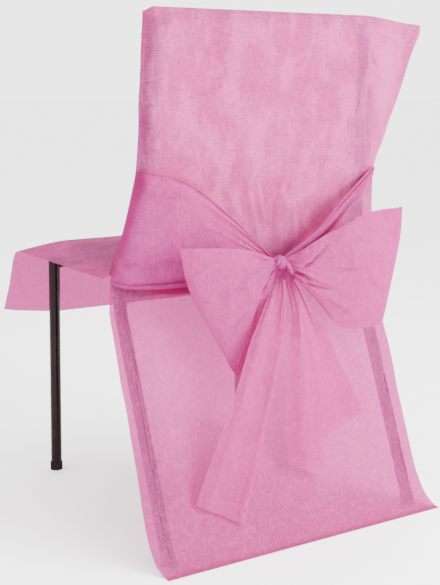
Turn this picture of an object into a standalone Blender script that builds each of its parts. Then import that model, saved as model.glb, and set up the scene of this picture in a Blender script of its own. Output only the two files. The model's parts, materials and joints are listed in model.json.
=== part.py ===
"""Chair cover with a sash and bow, worn by a plain tube-framed chair.

The chair stands on the floor plane z = 0 with its back towards -Y and its seat towards +Y.
Every position below is given about the chair's own middle; the empty at the end carries the
whole object to its final origin, the middle of its footprint.
"""
import math

import bpy
import bmesh
from mathutils import Matrix, Vector

COLLECTION_NAME = "chair_cover_with_sash"

# ---- driving sizes, in metres ----
TOTAL_HEIGHT = 0.900          # top seam of the cover
TUBE_RADIUS = 0.011           # chair frame tube
CLOTH = 0.0015                # thickness of every cloth sheet
EDGE_CLEARANCE = 0.0031       # cloth stays this far off the frame
PART_GAP = 0.0003             # between parts that meet
WRAP_RADIUS = TUBE_RADIUS + EDGE_CLEARANCE + CLOTH / 2.0
SEAM_LIFT = CLOTH / 2.0 + PART_GAP    # each layer's distance from the seam plane

# rear leg and backrest upright: centre line of the tube, from the floor up
REAR_TUBE = (
    # z,     x,      y
    (0.000, 0.2600, -0.1550),
    (0.400, 0.2600, 0.0060),
    (0.450, 0.2560, 0.0085),
    (0.520, 0.2420, -0.0040),
    (0.635, 0.2250, -0.0245),
    (0.885, 0.2170, -0.0425),
)
REAR_TUBE_TOP = 0.884
UPRIGHT_STEPS = 22

# front leg: straight, a little splayed
FRONT_LEG_TOP = (0.2190, 0.3700, 0.4410)
FRONT_LEG_FOOT = (0.2260, 0.3720, 0.0)

# cross tubes under the seat, from leg to leg
CROSS_Z = 0.4300

# rubber foot on the end of each leg
CAP_RADIUS = 0.0125
CAP_LENGTH = 0.016
CAP_SIDES = 20

# seat pad: a rounded trapezium

SEAT_TOP = 0.4640
SEAT_THICKNESS = 0.0227
SEAT_REAR_Y = 0.004
SEAT_FRONT_Y = 0.395
SEAT_REAR_HALF = 0.236
SEAT_FRONT_HALF = 0.190
SEAT_CORNER = 0.045
SEAT_CORNER_STEPS = 6
SEAT_RIM = (
    # inset, height above the base
    (0.012, 0.0),
    (0.002, 0.004),
    (0.000, 0.010),
    (0.003, 0.0150),
    (0.015, 0.0190),
    (0.050, 0.0218),
    (0.110, SEAT_THICKNESS),
)

# backrest board, between the uprights
BOARD_THICKNESS = 0.012
BOARD_GAP = 0.0010            # board to upright
BOARD_BOTTOM = 0.560
BOARD_TOP = 0.882
BOARD_CORNER = 0.020
BOARD_STEPS = 8

# cover, worn as a bag over the backrest: seams at each side, by height
BAG_ROWS = (
    # z,     left,    right,  edge_lift (0 sewn to the other layer, 1 free)
    (0.885, -0.2365, 0.3530, 0.0),
    (0.840, -0.2375, 0.3385, 0.0),
    (0.785, -0.2382, 0.3220, 0.0),
    (0.730, -0.2394, 0.3010, 0.0),
    (0.678, -0.2412, 0.2820, 0.0),
    (0.628, -0.2438, 0.2650, 0.0),
    (0.580, -0.2510, 0.2700, 0.0),
    (0.534, -0.2600, 0.2770, 0.0),
    (0.480, -0.2740, 0.2810, 0.0),
    (0.445, -0.2800, 0.2830, 0.4),
    (0.400, -0.2880, 0.2850, 1.0),
)
TOP_DROOP_LEFT = 0.008        # the top corners hang lower than the top seam
TOP_DROOP_RIGHT = 0.014
TOP_DROOP_FROM_X = 0.215
TOP_DROOP_FROM_Z = 0.800
TOP_HEIGHTS = (0.8998, 0.8985, 0.8950, 0.8900, 0.8840)
BACKREST_HEIGHTS = (0.8600, 0.8200, 0.7800, 0.7400, 0.7000, 0.6650, 0.6350,
                    0.6050, 0.5750, 0.5500, 0.5250)
WAIST_HEIGHTS = (0.500, 0.475, 0.450, 0.425, 0.400)    # back layer only

# places across a layer: round each tube, on to each side seam, and between the tubes
ARC_STEPS = 3
LINE_STEPS = 2
MIDDLE_STEPS = 12

# the tied sash draws the back panel out around the knot
PULL_HEIGHT = 0.030
PULL_Z = 0.475
PULL_REACH_X = 0.170
PULL_REACH_Z = 0.130
GATHER_HEIGHT = 0.0025
GATHER_PITCH = 0.012
GATHER_REACH_X = 0.080
GATHER_Z = 0.500
GATHER_REACH_Z = 0.080

# back panel below the seat, hanging behind the rear legs and kicking out on the floor
PANEL_ROWS = (
    # z,      y_from_leg, left,    right
    (0.3600, 0.0000, -0.2892, 0.2860),
    (0.3200, 0.0000, -0.2900, 0.2865),
    (0.2800, 0.0000, -0.2916, 0.2870),
    (0.2400, 0.0000, -0.2920, 0.2868),
    (0.1900, 0.0000, -0.2930, 0.2845),
    (0.1500, 0.0000, -0.2945, 0.2835),
    (0.1100, -0.0010, -0.2965, 0.2828),
    (0.0750, -0.0030, -0.2985, 0.2822),
    (0.0480, -0.0060, -0.2990, 0.2820),
    (0.0280, -0.0100, -0.2985, 0.2830),
    (0.0130, -0.0160, -0.2965, 0.2860),
    (0.0040, -0.0250, -0.2930, 0.2890),
)
HEM_Y = -0.2080
HEM_FLAT = 0.014              # last stretch of the hem, flat on the floor
HEM_HALF = 0.2910

# soft lengthwise folds of the back panel below the seat
PANEL_FOLDS = (
    # x,      width,  depth (towards -Y), z_low, z_high
    (-0.235, 0.040, 0.0050, 0.02, 0.40),
    (-0.110, 0.055, -0.0060, 0.00, 0.34),
    (0.060, 0.050, 0.0050, 0.00, 0.30),
    (0.175, 0.045, -0.0060, 0.02, 0.42),
)
PANEL_FADE_LOW = 0.080
PANEL_FADE_HIGH = 0.120
PANEL_HOLLOW = 0.020          # the panel sags in between the two legs
PANEL_HOLLOW_REACH = 0.260
PANEL_HOLLOW_LOW = 0.200
PANEL_HOLLOW_HIGH = 0.450

# front panel turning from the backrest onto the seat
TURN_ROWS = (
    # z_side, z_mid, forward_mid
    (0.5000, 0.5030, 0.0020),
    (0.4780, 0.4870, 0.0080),
    (0.4600, 0.4760, 0.0220),
)
# front panel over the seat: middle and side lines, from the backrest to the drop's edge
SEAT_FLAT = 0.175             # half width that lies level on the pad
SEAT_DROOP_POWER = 1.6        # how suddenly the sides fall away beyond it
SEAT_FOLD_FADE = 0.050
TURN_REACH = 0.070
SEAT_ROWS = (
    # y_mid,  z_mid,  y_side, z_side, half
    (0.0650, 0.4710, 0.0300, 0.4510, 0.2780),
    (0.1000, 0.4695, 0.0800, 0.4500, 0.2750),
    (0.1600, 0.4700, 0.1500, 0.4500, 0.2740),
    (0.2300, 0.4705, 0.2300, 0.4500, 0.2740),
    (0.3100, 0.4705, 0.3100, 0.4510, 0.2750),
    (0.3700, 0.4700, 0.3650, 0.4525, 0.2790),
    (0.3990, 0.4680, 0.3960, 0.4540, 0.2840),
    (0.4080, 0.4560, 0.4070, 0.4480, 0.2870),
    (0.4110, 0.4300, 0.4130, 0.4250, 0.2910),
    (0.4140, 0.3900, 0.4190, 0.3870, 0.2960),
    (0.4160, 0.3550, 0.4250, 0.3580, 0.3010),
    (0.4170, 0.3200, 0.4300, 0.3340, 0.3050),
)
SEAT_FOLDS = (
    # x,      width,  depth (down), y_low, y_high
    (-0.205, 0.030, 0.0030, 0.06, 0.38),
    (0.215, 0.030, 0.0030, 0.08, 0.36),
)

# ---- sash: tied behind the backrest ----
SASH_STEPS = 12               # rows along each band and tail
KNOT_CENTRE = (-0.0040, -0.0980, 0.4715)
KNOT_SIZE = (0.034, 0.030, 0.034)
KNOT_RINGS = 9
KNOT_SIDES = 16
KNOT_WAIST = 0.10

BAND_LEFT_TOP = (
    # x,      y,      z
    (-0.2445, -0.0290, 0.6360),
    (-0.2300, -0.0450, 0.6330),
    (-0.1850, -0.0540, 0.6230),
    (-0.1450, -0.0580, 0.6030),
    (-0.0800, -0.0720, 0.5490),
    (-0.0240, -0.0905, 0.4830),
)
BAND_LEFT_BOTTOM = (
    # x,      y,      z
    (-0.2810, -0.0060, 0.4500),
    (-0.2640, -0.0220, 0.4470),
    (-0.2150, -0.0330, 0.4440),
    (-0.1450, -0.0500, 0.4460),
    (-0.0800, -0.0720, 0.4500),
    (-0.0240, -0.0900, 0.4640),
)
BAND_LEFT_FOLDS = (
    # across, width, height (towards -Y)
    (0.10, 0.10, 0.0050),
    (0.82, 0.09, -0.0040),
    (0.95, 0.09, 0.0040),
)

BAND_LEFT_ACROSS = 14
BAND_LEFT_BELLY = 0.008       # it stands off the cover between its two edges
BAND_LEFT_FADE_IN = 0.20      # the folds begin this far along the band

BAND_RIGHT_SIDES = 12
BAND_RIGHT_PATH = (
    # x,      y,       z,      width,  thickness
    (0.2560, -0.0350, 0.6240, 0.008, 0.004),
    (0.2330, -0.0480, 0.6090, 0.018, 0.007),
    (0.1710, -0.0600, 0.5640, 0.026, 0.010),
    (0.1000, -0.0750, 0.5150, 0.026, 0.011),
    (0.0250, -0.0880, 0.4770, 0.016, 0.009),
)

# each loop: edge curves across the sash, from the knot out to the fold
LOOP_LEFT_EDGES = (
    (0.00, ((-0.0240, -0.1020, 0.4815), (-0.0640, -0.1060, 0.4970),
            (-0.1144, -0.1080, 0.5065), (-0.2080, -0.1040, 0.5150))),
    (0.33, ((-0.0240, -0.1020, 0.4760), (-0.0740, -0.1100, 0.4600),
            (-0.1260, -0.1110, 0.4500), (-0.1880, -0.1040, 0.4420))),
    (0.75, ((-0.0235, -0.1020, 0.4690), (-0.0570, -0.1120, 0.4220),
            (-0.0930, -0.1130, 0.3790), (-0.1270, -0.1060, 0.3360))),
    (0.92, ((-0.0225, -0.1020, 0.4655), (-0.0450, -0.1120, 0.4090),
            (-0.0700, -0.1140, 0.3530), (-0.0930, -0.1080, 0.2900))),
    (1.00, ((-0.0215, -0.1020, 0.4635), (-0.0390, -0.1120, 0.4130),
            (-0.0570, -0.1140, 0.3610), (-0.0790, -0.1090, 0.3050))),
)
LOOP_RIGHT_EDGES = (
    (0.00, ((0.0160, -0.1020, 0.4815), (0.0951, -0.1060, 0.5165),
            (0.1840, -0.1080, 0.5480), (0.2690, -0.1040, 0.5560))),
    (0.25, ((0.0165, -0.1020, 0.4765), (0.0980, -0.1100, 0.4860),
            (0.1860, -0.1110, 0.4970), (0.2660, -0.1040, 0.5000))),
    (0.70, ((0.0165, -0.1020, 0.4690), (0.0860, -0.1120, 0.4270),
            (0.1600, -0.1130, 0.4010), (0.2430, -0.1040, 0.3980))),
    (1.00, ((0.0155, -0.1020, 0.4630), (0.0660, -0.1120, 0.4040),
            (0.1250, -0.1140, 0.3500), (0.2260, -0.1060, 0.3390))),
)
LOOP_PUFF = 0.010             # half the loop's fullness at its widest
LOOP_FOLD = 0.0028            # half the spacing of the two layers at the outer fold
LOOP_STATIONS = (0.0, 0.12, 0.26, 0.44, 0.64, 0.84, 0.965)
LOOP_ACROSS = 10
LOOP_FULLEST = 0.8            # below 1 the loop is fullest nearer its outer fold
LOOP_PLEATS_END = 0.75        # the pleats at the knot have opened out by here
LOOP_PLEATS = (
    # across, width, height
    (0.20, 0.12, 0.0030),
    (0.50, 0.12, -0.0030),
    (0.78, 0.12, 0.0030),
)

# each tail: edge curves across the sash, from the knot to the cut end
TAIL_ACROSS = 10
TAIL_FADE_IN = 0.30           # the folds begin this far down the tail
TAIL_LEFT_EDGES = (
    (0.00, ((-0.0140, -0.1170, 0.4510), (-0.0640, -0.1400, 0.3920), (-0.1040, -0.1450, 0.3240),
            (-0.1450, -0.1450, 0.2610), (-0.1750, -0.1470, 0.1800), (-0.2050, -0.1480, 0.0900))),
    (1.00, ((-0.0020, -0.1170, 0.4490), (-0.0150, -0.1420, 0.4000), (-0.0370, -0.1460, 0.3330),
            (-0.0650, -0.1470, 0.2840), (-0.0850, -0.1490, 0.1810), (-0.1200, -0.1650, 0.0420))),
)
TAIL_LEFT_FOLDS = (
    # across, width, height (towards -Y)
    (0.30, 0.20, 0.0060),
    (0.70, 0.18, -0.0050),
)
TAIL_RIGHT_EDGES = (
    (0.00, ((0.0010, -0.1170, 0.4500), (-0.0020, -0.1330, 0.3900), (-0.0100, -0.1350, 0.3300),
            (-0.0150, -0.1370, 0.2200), (-0.0100, -0.1420, 0.1200))),
    (0.50, ((0.0090, -0.1170, 0.4500), (0.0240, -0.1420, 0.3900), (0.0350, -0.1450, 0.3200),
            (0.0480, -0.1450, 0.2200), (0.0570, -0.1490, 0.1000))),
    (0.60, ((0.0100, -0.1150, 0.4510), (0.0270, -0.1360, 0.3900), (0.0370, -0.1390, 0.3200),
            (0.0500, -0.1390, 0.2300), (0.0620, -0.1410, 0.1540))),
    (1.00, ((0.0175, -0.1140, 0.4550), (0.0520, -0.1370, 0.3900), (0.0840, -0.1400, 0.3350),
            (0.1200, -0.1400, 0.2700), (0.1580, -0.1400, 0.1900))),
)
TAIL_RIGHT_FOLDS = (
    # across, width, height (towards -Y)
    (0.25, 0.16, 0.0040),
    (0.82, 0.14, -0.0040),
)

# the footprint's middle, which the empty carries to the origin
FOOTPRINT_X = 0.0240
FOOTPRINT_Y = 0.1114

PINK = (0.78, 0.30, 0.50, 1.0)
COLOURS = {
    # slot:   colour,                     roughness, metallic
    "cloth": (PINK, 0.85, 0.0),
    "frame": ((0.035, 0.014, 0.012, 1.0), 0.30, 0.6),
    "pad": ((0.030, 0.028, 0.030, 1.0), 0.55, 0.0),
    "board": ((0.30, 0.19, 0.10, 1.0), 0.60, 0.0),
    "foot": ((0.020, 0.018, 0.018, 1.0), 0.60, 0.0),
}


# ---- small tools ----
def clear_scene():
    for old in list(bpy.data.objects):
        bpy.data.objects.remove(old, do_unlink=True)


def new_collection(name):
    collection = bpy.data.collections.new(name)
    bpy.context.scene.collection.children.link(collection)
    return collection


def make_material(slot):
    colour, roughness, metallic = COLOURS[slot]
    material = bpy.data.materials.new(slot)
    material.use_nodes = True
    shader = material.node_tree.nodes["Principled BSDF"]
    shader.inputs["Base Color"].default_value = colour
    shader.inputs["Roughness"].default_value = roughness
    shader.inputs["Metallic"].default_value = metallic
    return material


def smooth(t):
    t = min(1.0, max(0.0, t))
    return t * t * (3.0 - 2.0 * t)


def bell(t):
    """A soft bump: 1 at t = 0, 0 beyond t = -1 and t = 1."""
    return smooth(1.0 - abs(t))


def along_table(rows, key):
    """Read a table at a value of its first column; the rows may run up or down."""
    if rows[0][0] > rows[-1][0]:
        rows = rows[::-1]
    if key <= rows[0][0]:
        return rows[0]
    for low, high in zip(rows, rows[1:]):
        if key <= high[0]:
            t = (key - low[0]) / (high[0] - low[0])
            return tuple(a + (b - a) * t for a, b in zip(low, high))
    return rows[-1]


def smooth_table(rows, key):
    """Read a table like along_table, on a smooth curve through its rows."""
    key = min(max(key, rows[0][0]), rows[-1][0])
    i = 0
    while key > rows[i + 1][0]:
        i += 1
    slopes = []
    for k in (i, i + 1):
        low = rows[max(k - 1, 0)]
        high = rows[min(k + 1, len(rows) - 1)]
        slopes.append([(b - a) / (high[0] - low[0]) for a, b in zip(low, high)])
    span = rows[i + 1][0] - rows[i][0]
    u = (key - rows[i][0]) / span
    values = []
    for a, b, slope_a, slope_b in zip(rows[i], rows[i + 1], *slopes):
        values.append(a * (2 * u**3 - 3 * u**2 + 1) + slope_a * span * (u**3 - 2 * u**2 + u)
                      + b * (3 * u**2 - 2 * u**3) + slope_b * span * (u**3 - u**2))
    return tuple(values)


def spline_point(points, t):
    """A point at 0..1 on the smooth curve that passes through evenly counted points."""
    last = len(points) - 1
    place = min(max(t, 0.0), 1.0) * last
    i = min(int(place), last - 1)
    u = place - i
    p0 = Vector(points[max(i - 1, 0)])
    p1 = Vector(points[i])
    p2 = Vector(points[i + 1])
    p3 = Vector(points[min(i + 2, last)])
    pull = 0.5 * (p2 - p0)
    push = 0.5 * (p3 - p1)
    return (p1 * (2 * u**3 - 3 * u**2 + 1) + pull * (u**3 - 2 * u**2 + u)
            + p2 * (3 * u**2 - 2 * u**3) + push * (u**3 - u**2))


def add_object(name, mesh, slot):
    part = bpy.data.objects.new(name, mesh)
    part.data.materials.append(make_material(slot))
    bpy.data.collections[COLLECTION_NAME].objects.link(part)
    return part


def tube(name, points, radius, slot):
    """A round bar with flat ends along a list of points."""
    curve = bpy.data.curves.new(name, "CURVE")
    curve.dimensions = "3D"
    curve.bevel_depth = radius
    curve.bevel_resolution = 6
    curve.use_fill_caps = True
    spline = curve.splines.new("POLY")
    spline.points.add(len(points) - 1)
    for knot, point in zip(spline.points, points):
        knot.co = (*point, 1.0)
    spline.use_smooth = True
    return add_object(name, curve, slot)


def sheet(name, rows, slot, thickness=CLOTH):
    """A cloth sheet of even thickness about a grid of points, one list for each row."""
    mesh = bpy.data.meshes.new(name)
    across = len(rows[0])
    points = [tuple(point) for row in rows for point in row]
    faces = []
    for r in range(len(rows) - 1):
        for c in range(across - 1):
            a = r * across + c
            faces.append((a, a + across, a + across + 1, a + 1))
    mesh.from_pydata(points, [], faces)
    mesh.shade_smooth()
    part = add_object(name, mesh, slot)
    shell = part.modifiers.new("cloth", "SOLIDIFY")
    shell.thickness = thickness
    shell.offset = 0.0
    shell.use_even_offset = True
    shell.use_quality_normals = True
    return part


def loft(name, sections, slot):
    """A closed solid through rings of equal count, with both ends filled."""
    count = len(sections[0])
    mesh = bpy.data.meshes.new(name)
    points = [tuple(point) for ring in sections for point in ring]
    faces = []
    for r in range(len(sections) - 1):
        for c in range(count):
            d = (c + 1) % count
            faces.append((r * count + c, r * count + d, (r + 1) * count + d, (r + 1) * count + c))
    last = (len(sections) - 1) * count
    faces.append(tuple(range(count))[::-1])
    faces.append(tuple(range(last, last + count)))
    mesh.from_pydata(points, [], faces)
    shape = bmesh.new()
    shape.from_mesh(mesh)
    bmesh.ops.recalc_face_normals(shape, faces=shape.faces)
    shape.to_mesh(mesh)
    shape.free()
    mesh.shade_smooth()
    return add_object(name, mesh, slot)


# ---- the chair ----
def rear_tube_at(z):
    """Centre of the right rear tube at a height: x, y. The leg below the seat is straight."""
    if z <= REAR_TUBE[1][0]:
        _, x, y = along_table(REAR_TUBE[:2], z)
    else:
        _, x, y = smooth_table(REAR_TUBE[1:], z)
    return x, y


def rounded_corner(before, corner, after, radius, steps):
    """Points of an arc that replaces a corner between two straight runs."""
    corner = Vector(corner)
    inward = (Vector(before) - corner).normalized()
    outward = (Vector(after) - corner).normalized()
    half = inward.angle(outward) / 2.0
    reach = radius / math.tan(half)
    centre = corner + (inward + outward).normalized() * (radius / math.sin(half))
    start = corner + inward * reach
    end = corner + outward * reach
    axis = (start - centre).cross(end - centre).normalized()
    sweep = (start - centre).angle(end - centre)
    arc = []
    for k in range(steps + 1):
        turn = Matrix.Rotation(sweep * k / steps, 3, axis)
        arc.append(centre + turn @ (start - centre))
    return arc


def foot_cap(name, foot, direction):
    """A solid foot along the leg's line, cut flat by the floor."""
    direction = Vector(direction).normalized()
    bpy.ops.mesh.primitive_cylinder_add(vertices=CAP_SIDES, radius=CAP_RADIUS, depth=CAP_LENGTH * 2.0)
    cap = bpy.context.object
    for owner in list(cap.users_collection):
        owner.objects.unlink(cap)
    turn = direction.to_track_quat("Z", "Y").to_matrix().to_4x4()
    cap.data.transform(Matrix.Translation(Vector(foot)) @ turn)
    shape = bmesh.new()
    shape.from_mesh(cap.data)
    cut = bmesh.ops.bisect_plane(shape, geom=shape.verts[:] + shape.edges[:] + shape.faces[:],
                                 plane_co=(0, 0, 0), plane_no=(0, 0, 1), clear_inner=True)
    rim = [edge for edge in cut["geom_cut"] if isinstance(edge, bmesh.types.BMEdge)]
    bmesh.ops.contextual_create(shape, geom=rim)
    bmesh.ops.recalc_face_normals(shape, faces=shape.faces)
    shape.to_mesh(cap.data)
    shape.free()
    cap.name = name
    cap.data.name = name
    cap.data.materials.append(make_material("foot"))
    cap.data.shade_smooth()
    cap.data.set_sharp_from_angle(angle=math.radians(40))
    bpy.data.collections[COLLECTION_NAME].objects.link(cap)


def rear_frame(name, side):
    """Rear leg and backrest upright, one bent tube."""
    foot = Vector((side * REAR_TUBE[0][1], REAR_TUBE[0][2], 0.0))
    knee = Vector((side * REAR_TUBE[1][1], REAR_TUBE[1][2], REAR_TUBE[1][0]))
    rise = (knee - foot).normalized()
    points = [foot + rise * (CAP_LENGTH + PART_GAP), knee]
    for k in range(1, UPRIGHT_STEPS + 1):
        z = knee.z + (REAR_TUBE_TOP - knee.z) * k / UPRIGHT_STEPS
        x, y = rear_tube_at(z)
        points.append(Vector((side * x, y, z)))
    tube(name, points, TUBE_RADIUS, "frame")
    foot_cap(name.replace("frame", "foot"), foot, rise)


def front_frame(name, side):
    """Front leg: one straight tube from the seat pad to its foot."""
    top = Vector((side * FRONT_LEG_TOP[0], *FRONT_LEG_TOP[1:]))
    foot = Vector((side * FRONT_LEG_FOOT[0], *FRONT_LEG_FOOT[1:]))
    rise = (top - foot).normalized()
    tube(name, [foot + rise * (CAP_LENGTH + PART_GAP), top], TUBE_RADIUS, "frame")
    foot_cap(name.replace("frame", "foot"), foot, rise)


def cross_tube(name, leg_x, y):
    """A tube under the seat between the two legs of a pair."""
    half = leg_x - TUBE_RADIUS - PART_GAP * 2.0
    tube(name, [(-half, y, CROSS_Z), (half, y, CROSS_Z)], TUBE_RADIUS, "frame")


def rounded_outline(corners, radius, steps):
    """A closed outline whose corners are arcs."""
    outline = []
    count = len(corners)
    for k in range(count):
        outline += rounded_corner(corners[k - 1], corners[k], corners[(k + 1) % count],
                                  radius, steps)
    return outline


def seat_pad():
    """Seat pad: a rounded trapezium with a crowned top and a soft rim."""
    corners = [(-SEAT_REAR_HALF, SEAT_REAR_Y, 0), (SEAT_REAR_HALF, SEAT_REAR_Y, 0),
               (SEAT_FRONT_HALF, SEAT_FRONT_Y, 0), (-SEAT_FRONT_HALF, SEAT_FRONT_Y, 0)]
    outline = rounded_outline(corners, SEAT_CORNER, SEAT_CORNER_STEPS)
    middle = Vector((0.0, (SEAT_REAR_Y + SEAT_FRONT_Y) / 2.0, 0.0))
    base = SEAT_TOP - SEAT_THICKNESS
    rings = []
    for inset, height in SEAT_RIM:
        ring = []
        for point in outline:
            shrink = 1.0 - inset / (point - middle).length
            spot = middle + (point - middle) * shrink
            ring.append((spot.x, spot.y, base + height))
        rings.append(ring)
    return loft("seat_pad", rings, "pad")


def back_board():
    """Backrest board between the two uprights, leaning with them."""
    rows = []
    for k in range(BOARD_STEPS + 1):
        z = BOARD_BOTTOM + (BOARD_TOP - BOARD_BOTTOM) * k / BOARD_STEPS
        x, y = rear_tube_at(z)
        half = x - TUBE_RADIUS - BOARD_GAP
        from_end = min(z - BOARD_BOTTOM, BOARD_TOP - z)
        if from_end < BOARD_CORNER:
            half -= BOARD_CORNER - math.sqrt(BOARD_CORNER**2 - (BOARD_CORNER - from_end)**2)
        rows.append([(half * s, y, z) for s in (-1.0, -0.5, 0.0, 0.5, 1.0)])
    return sheet("back_board", rows, "board", BOARD_THICKNESS)


# ---- the cover ----
def wrap_profile(reach, lift, radius, arc_steps, line_steps):
    """Cloth from the crest of a tube to its own edge: (outward, lift) from the tube's centre.

    The cloth follows the tube until it can leave on the straight line to its edge.
    """
    span = math.hypot(reach, lift)
    leave = math.atan2(lift, reach) + math.acos(min(1.0, radius / span))
    leave = min(leave, math.pi / 2.0)
    points = []
    for k in range(arc_steps + 1):
        angle = math.pi / 2.0 + (leave - math.pi / 2.0) * k / arc_steps
        points.append((radius * math.cos(angle), radius * math.sin(angle)))
    x0, y0 = points[-1]
    for k in range(1, line_steps + 1):
        t = k / line_steps
        points.append((x0 + (reach - x0) * t, y0 + (lift - y0) * t))
    return points


def bag_section(z, radius):
    """One layer of the bag at a height: (x, offset from the tube line) from left to right."""
    _, left, right, free = along_table(BAG_ROWS, z)
    tube_x, _ = rear_tube_at(min(z, REAR_TUBE_TOP))
    lift = SEAM_LIFT + (radius - SEAM_LIFT) * free
    left_side = wrap_profile(-left - tube_x, lift, radius, ARC_STEPS, LINE_STEPS)
    right_side = wrap_profile(right - tube_x, lift, radius, ARC_STEPS, LINE_STEPS)
    section = [(-tube_x - out, up) for out, up in left_side[::-1]]
    for k in range(1, MIDDLE_STEPS):
        section.append((-tube_x + 2.0 * tube_x * k / MIDDLE_STEPS, radius))
    section += [(tube_x + out, up) for out, up in right_side]
    return section


def top_radius(z):
    """The bag's half thickness closes to the top seam over the ends of the tubes."""
    crown = TOTAL_HEIGHT - REAR_TUBE_TOP
    t = min(1.0, max(0.0, (z - REAR_TUBE_TOP) / crown))
    return max(SEAM_LIFT * 1.05, WRAP_RADIUS * math.sqrt(1.0 - t * t))


def top_droop(x, z):
    """How far the top corners hang below the level of their row."""
    near_top = smooth((z - TOP_DROOP_FROM_Z) / (TOTAL_HEIGHT - TOP_DROOP_FROM_Z))
    _, left, right, _ = BAG_ROWS[0]
    if x < 0.0:
        return TOP_DROOP_LEFT * smooth((x + TOP_DROOP_FROM_X) / (left + TOP_DROOP_FROM_X)) * near_top
    return TOP_DROOP_RIGHT * smooth((x - TOP_DROOP_FROM_X) / (right - TOP_DROOP_FROM_X)) * near_top


def knot_pull(x, z):
    """The tied sash draws the back panel out into a soft hill with gathers around the knot."""
    from_knot = x - KNOT_CENTRE[0]
    hill = bell(from_knot / PULL_REACH_X) * bell((z - PULL_Z) / PULL_REACH_Z)
    gathers = math.cos(from_knot / GATHER_PITCH) * bell(from_knot / GATHER_REACH_X)
    gathers *= bell((z - GATHER_Z) / GATHER_REACH_Z)
    return PULL_HEIGHT * hill + GATHER_HEIGHT * gathers


def bag_layer(side):
    """Rows of one layer of the bag, from the top seam down: side -1 is the back, +1 the front."""
    rows = []
    for z in TOP_HEIGHTS + BACKREST_HEIGHTS:
        radius = top_radius(z)
        _, tube_y = rear_tube_at(z)
        row = []
        for x, offset in bag_section(z, radius):
            y = tube_y + side * offset
            if side < 0:
                y -= knot_pull(x, z)
            row.append((x, y, z - top_droop(x, z)))
        rows.append(row)
    return rows


def leg_y(z):
    """The rear leg's straight line below the seat."""
    z0, _, y0 = REAR_TUBE[0]
    z1, _, y1 = REAR_TUBE[1]
    return y0 + (y1 - y0) * (z - z0) / (z1 - z0)


def panel_offset(x, z):
    """How far the free back panel stands out behind the legs' line, towards -Y."""
    sag = bell(x / PANEL_HOLLOW_REACH) * smooth(z / PANEL_HOLLOW_LOW)
    sag *= 1.0 - smooth(z / PANEL_HOLLOW_HIGH)
    offset = -PANEL_HOLLOW * sag
    for fold_x, width, depth, low, high in PANEL_FOLDS:
        fade = smooth((z - low) / PANEL_FADE_LOW) * smooth((high - z) / PANEL_FADE_HIGH)
        offset += depth * bell((x - fold_x) / width) * fade
    return offset


def back_rows():
    """Rows of the back panel, from the top seam down to the hem's cut edge."""
    rows = bag_layer(-1)
    for z in WAIST_HEIGHTS:
        _, tube_y = rear_tube_at(z)
        row = []
        for x, offset in bag_section(z, WRAP_RADIUS):
            row.append((x, tube_y - offset - knot_pull(x, z), z))
        rows.append(row)
    slope = math.hypot(1.0, (REAR_TUBE[1][2] - REAR_TUBE[0][2]) / REAR_TUBE[1][0])
    across = len(rows[0])
    for z, from_leg, left, right in PANEL_ROWS:
        row = []
        for c in range(across):
            x = left + (right - left) * c / (across - 1)
            y = leg_y(z) - WRAP_RADIUS * slope + from_leg - panel_offset(x, z)
            row.append((x, y, z))
        rows.append(row)
    for y in (HEM_Y + HEM_FLAT, HEM_Y):
        rows.append([(-HEM_HALF + 2.0 * HEM_HALF * c / (across - 1), y, CLOTH / 2.0)
                     for c in range(across)])
    return rows


def cover_back():
    """Back panel: over the backrest's rear, then free to the hem on the floor."""
    return sheet("cover_back", back_rows(), "cloth")


def turn_row(z_side, z_mid, forward):
    """A row of the front panel where it leaves the backrest for the seat."""
    _, tube_y = rear_tube_at(z_side)
    row = []
    for x, offset in bag_section(z_side, WRAP_RADIUS):
        inner = 1.0 - smooth((abs(x) - SEAT_FLAT) / TURN_REACH)
        row.append((x, tube_y + offset + forward * inner, z_side + (z_mid - z_side) * inner))
    return row


def seat_row(y_mid, z_mid, y_side, z_side, half, across):
    """A row of the front panel over the seat, drooping from the pad to its two edges."""
    row = []
    for c in range(across):
        x = -half + 2.0 * half * c / (across - 1)
        out = max(0.0, (abs(x) - SEAT_FLAT) / (half - SEAT_FLAT)) ** SEAT_DROOP_POWER
        y = y_mid + (y_side - y_mid) * out
        z = z_mid + (z_side - z_mid) * out
        for fold_x, width, depth, low, high in SEAT_FOLDS:
            fade = smooth((y - low) / SEAT_FOLD_FADE) * smooth((high - y) / SEAT_FOLD_FADE)
            z -= depth * bell((x - fold_x) / width) * fade
        row.append((x, y, z))
    return row


def cover_front():
    """Front panel: down the backrest's front, over the seat and down its front edge."""
    rows = bag_layer(1)
    across = len(rows[0])
    for z_side, z_mid, forward in TURN_ROWS:
        rows.append(turn_row(z_side, z_mid, forward))
    for y_mid, z_mid, y_side, z_side, half in SEAT_ROWS:
        rows.append(seat_row(y_mid, z_mid, y_side, z_side, half, across))
    rows = [row[::-1] for row in rows]
    return sheet("cover_front", rows, "cloth")


# ---- the sash ----
def strip_rows(edges, stations, across, offset):
    """Rows through a set of edge curves, moved towards -Y by offset(along, across)."""
    rows = []
    for t in stations:
        marks = [(v, *spline_point(curve, t)) for v, curve in edges]
        row = []
        for c in range(across + 1):
            v = c / across
            _, x, y, z = along_table(marks, v) if len(marks) < 3 else smooth_table(marks, v)
            row.append((x, y - offset(t, v), z))
        rows.append(row)
    return rows


def even_stations(count):
    return [k / count for k in range(count + 1)]


def folds_at(folds, v):
    """Height of a set of lengthwise folds at a place across the cloth."""
    return sum(height * bell((v - place) / width) for place, width, height in folds)


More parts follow.
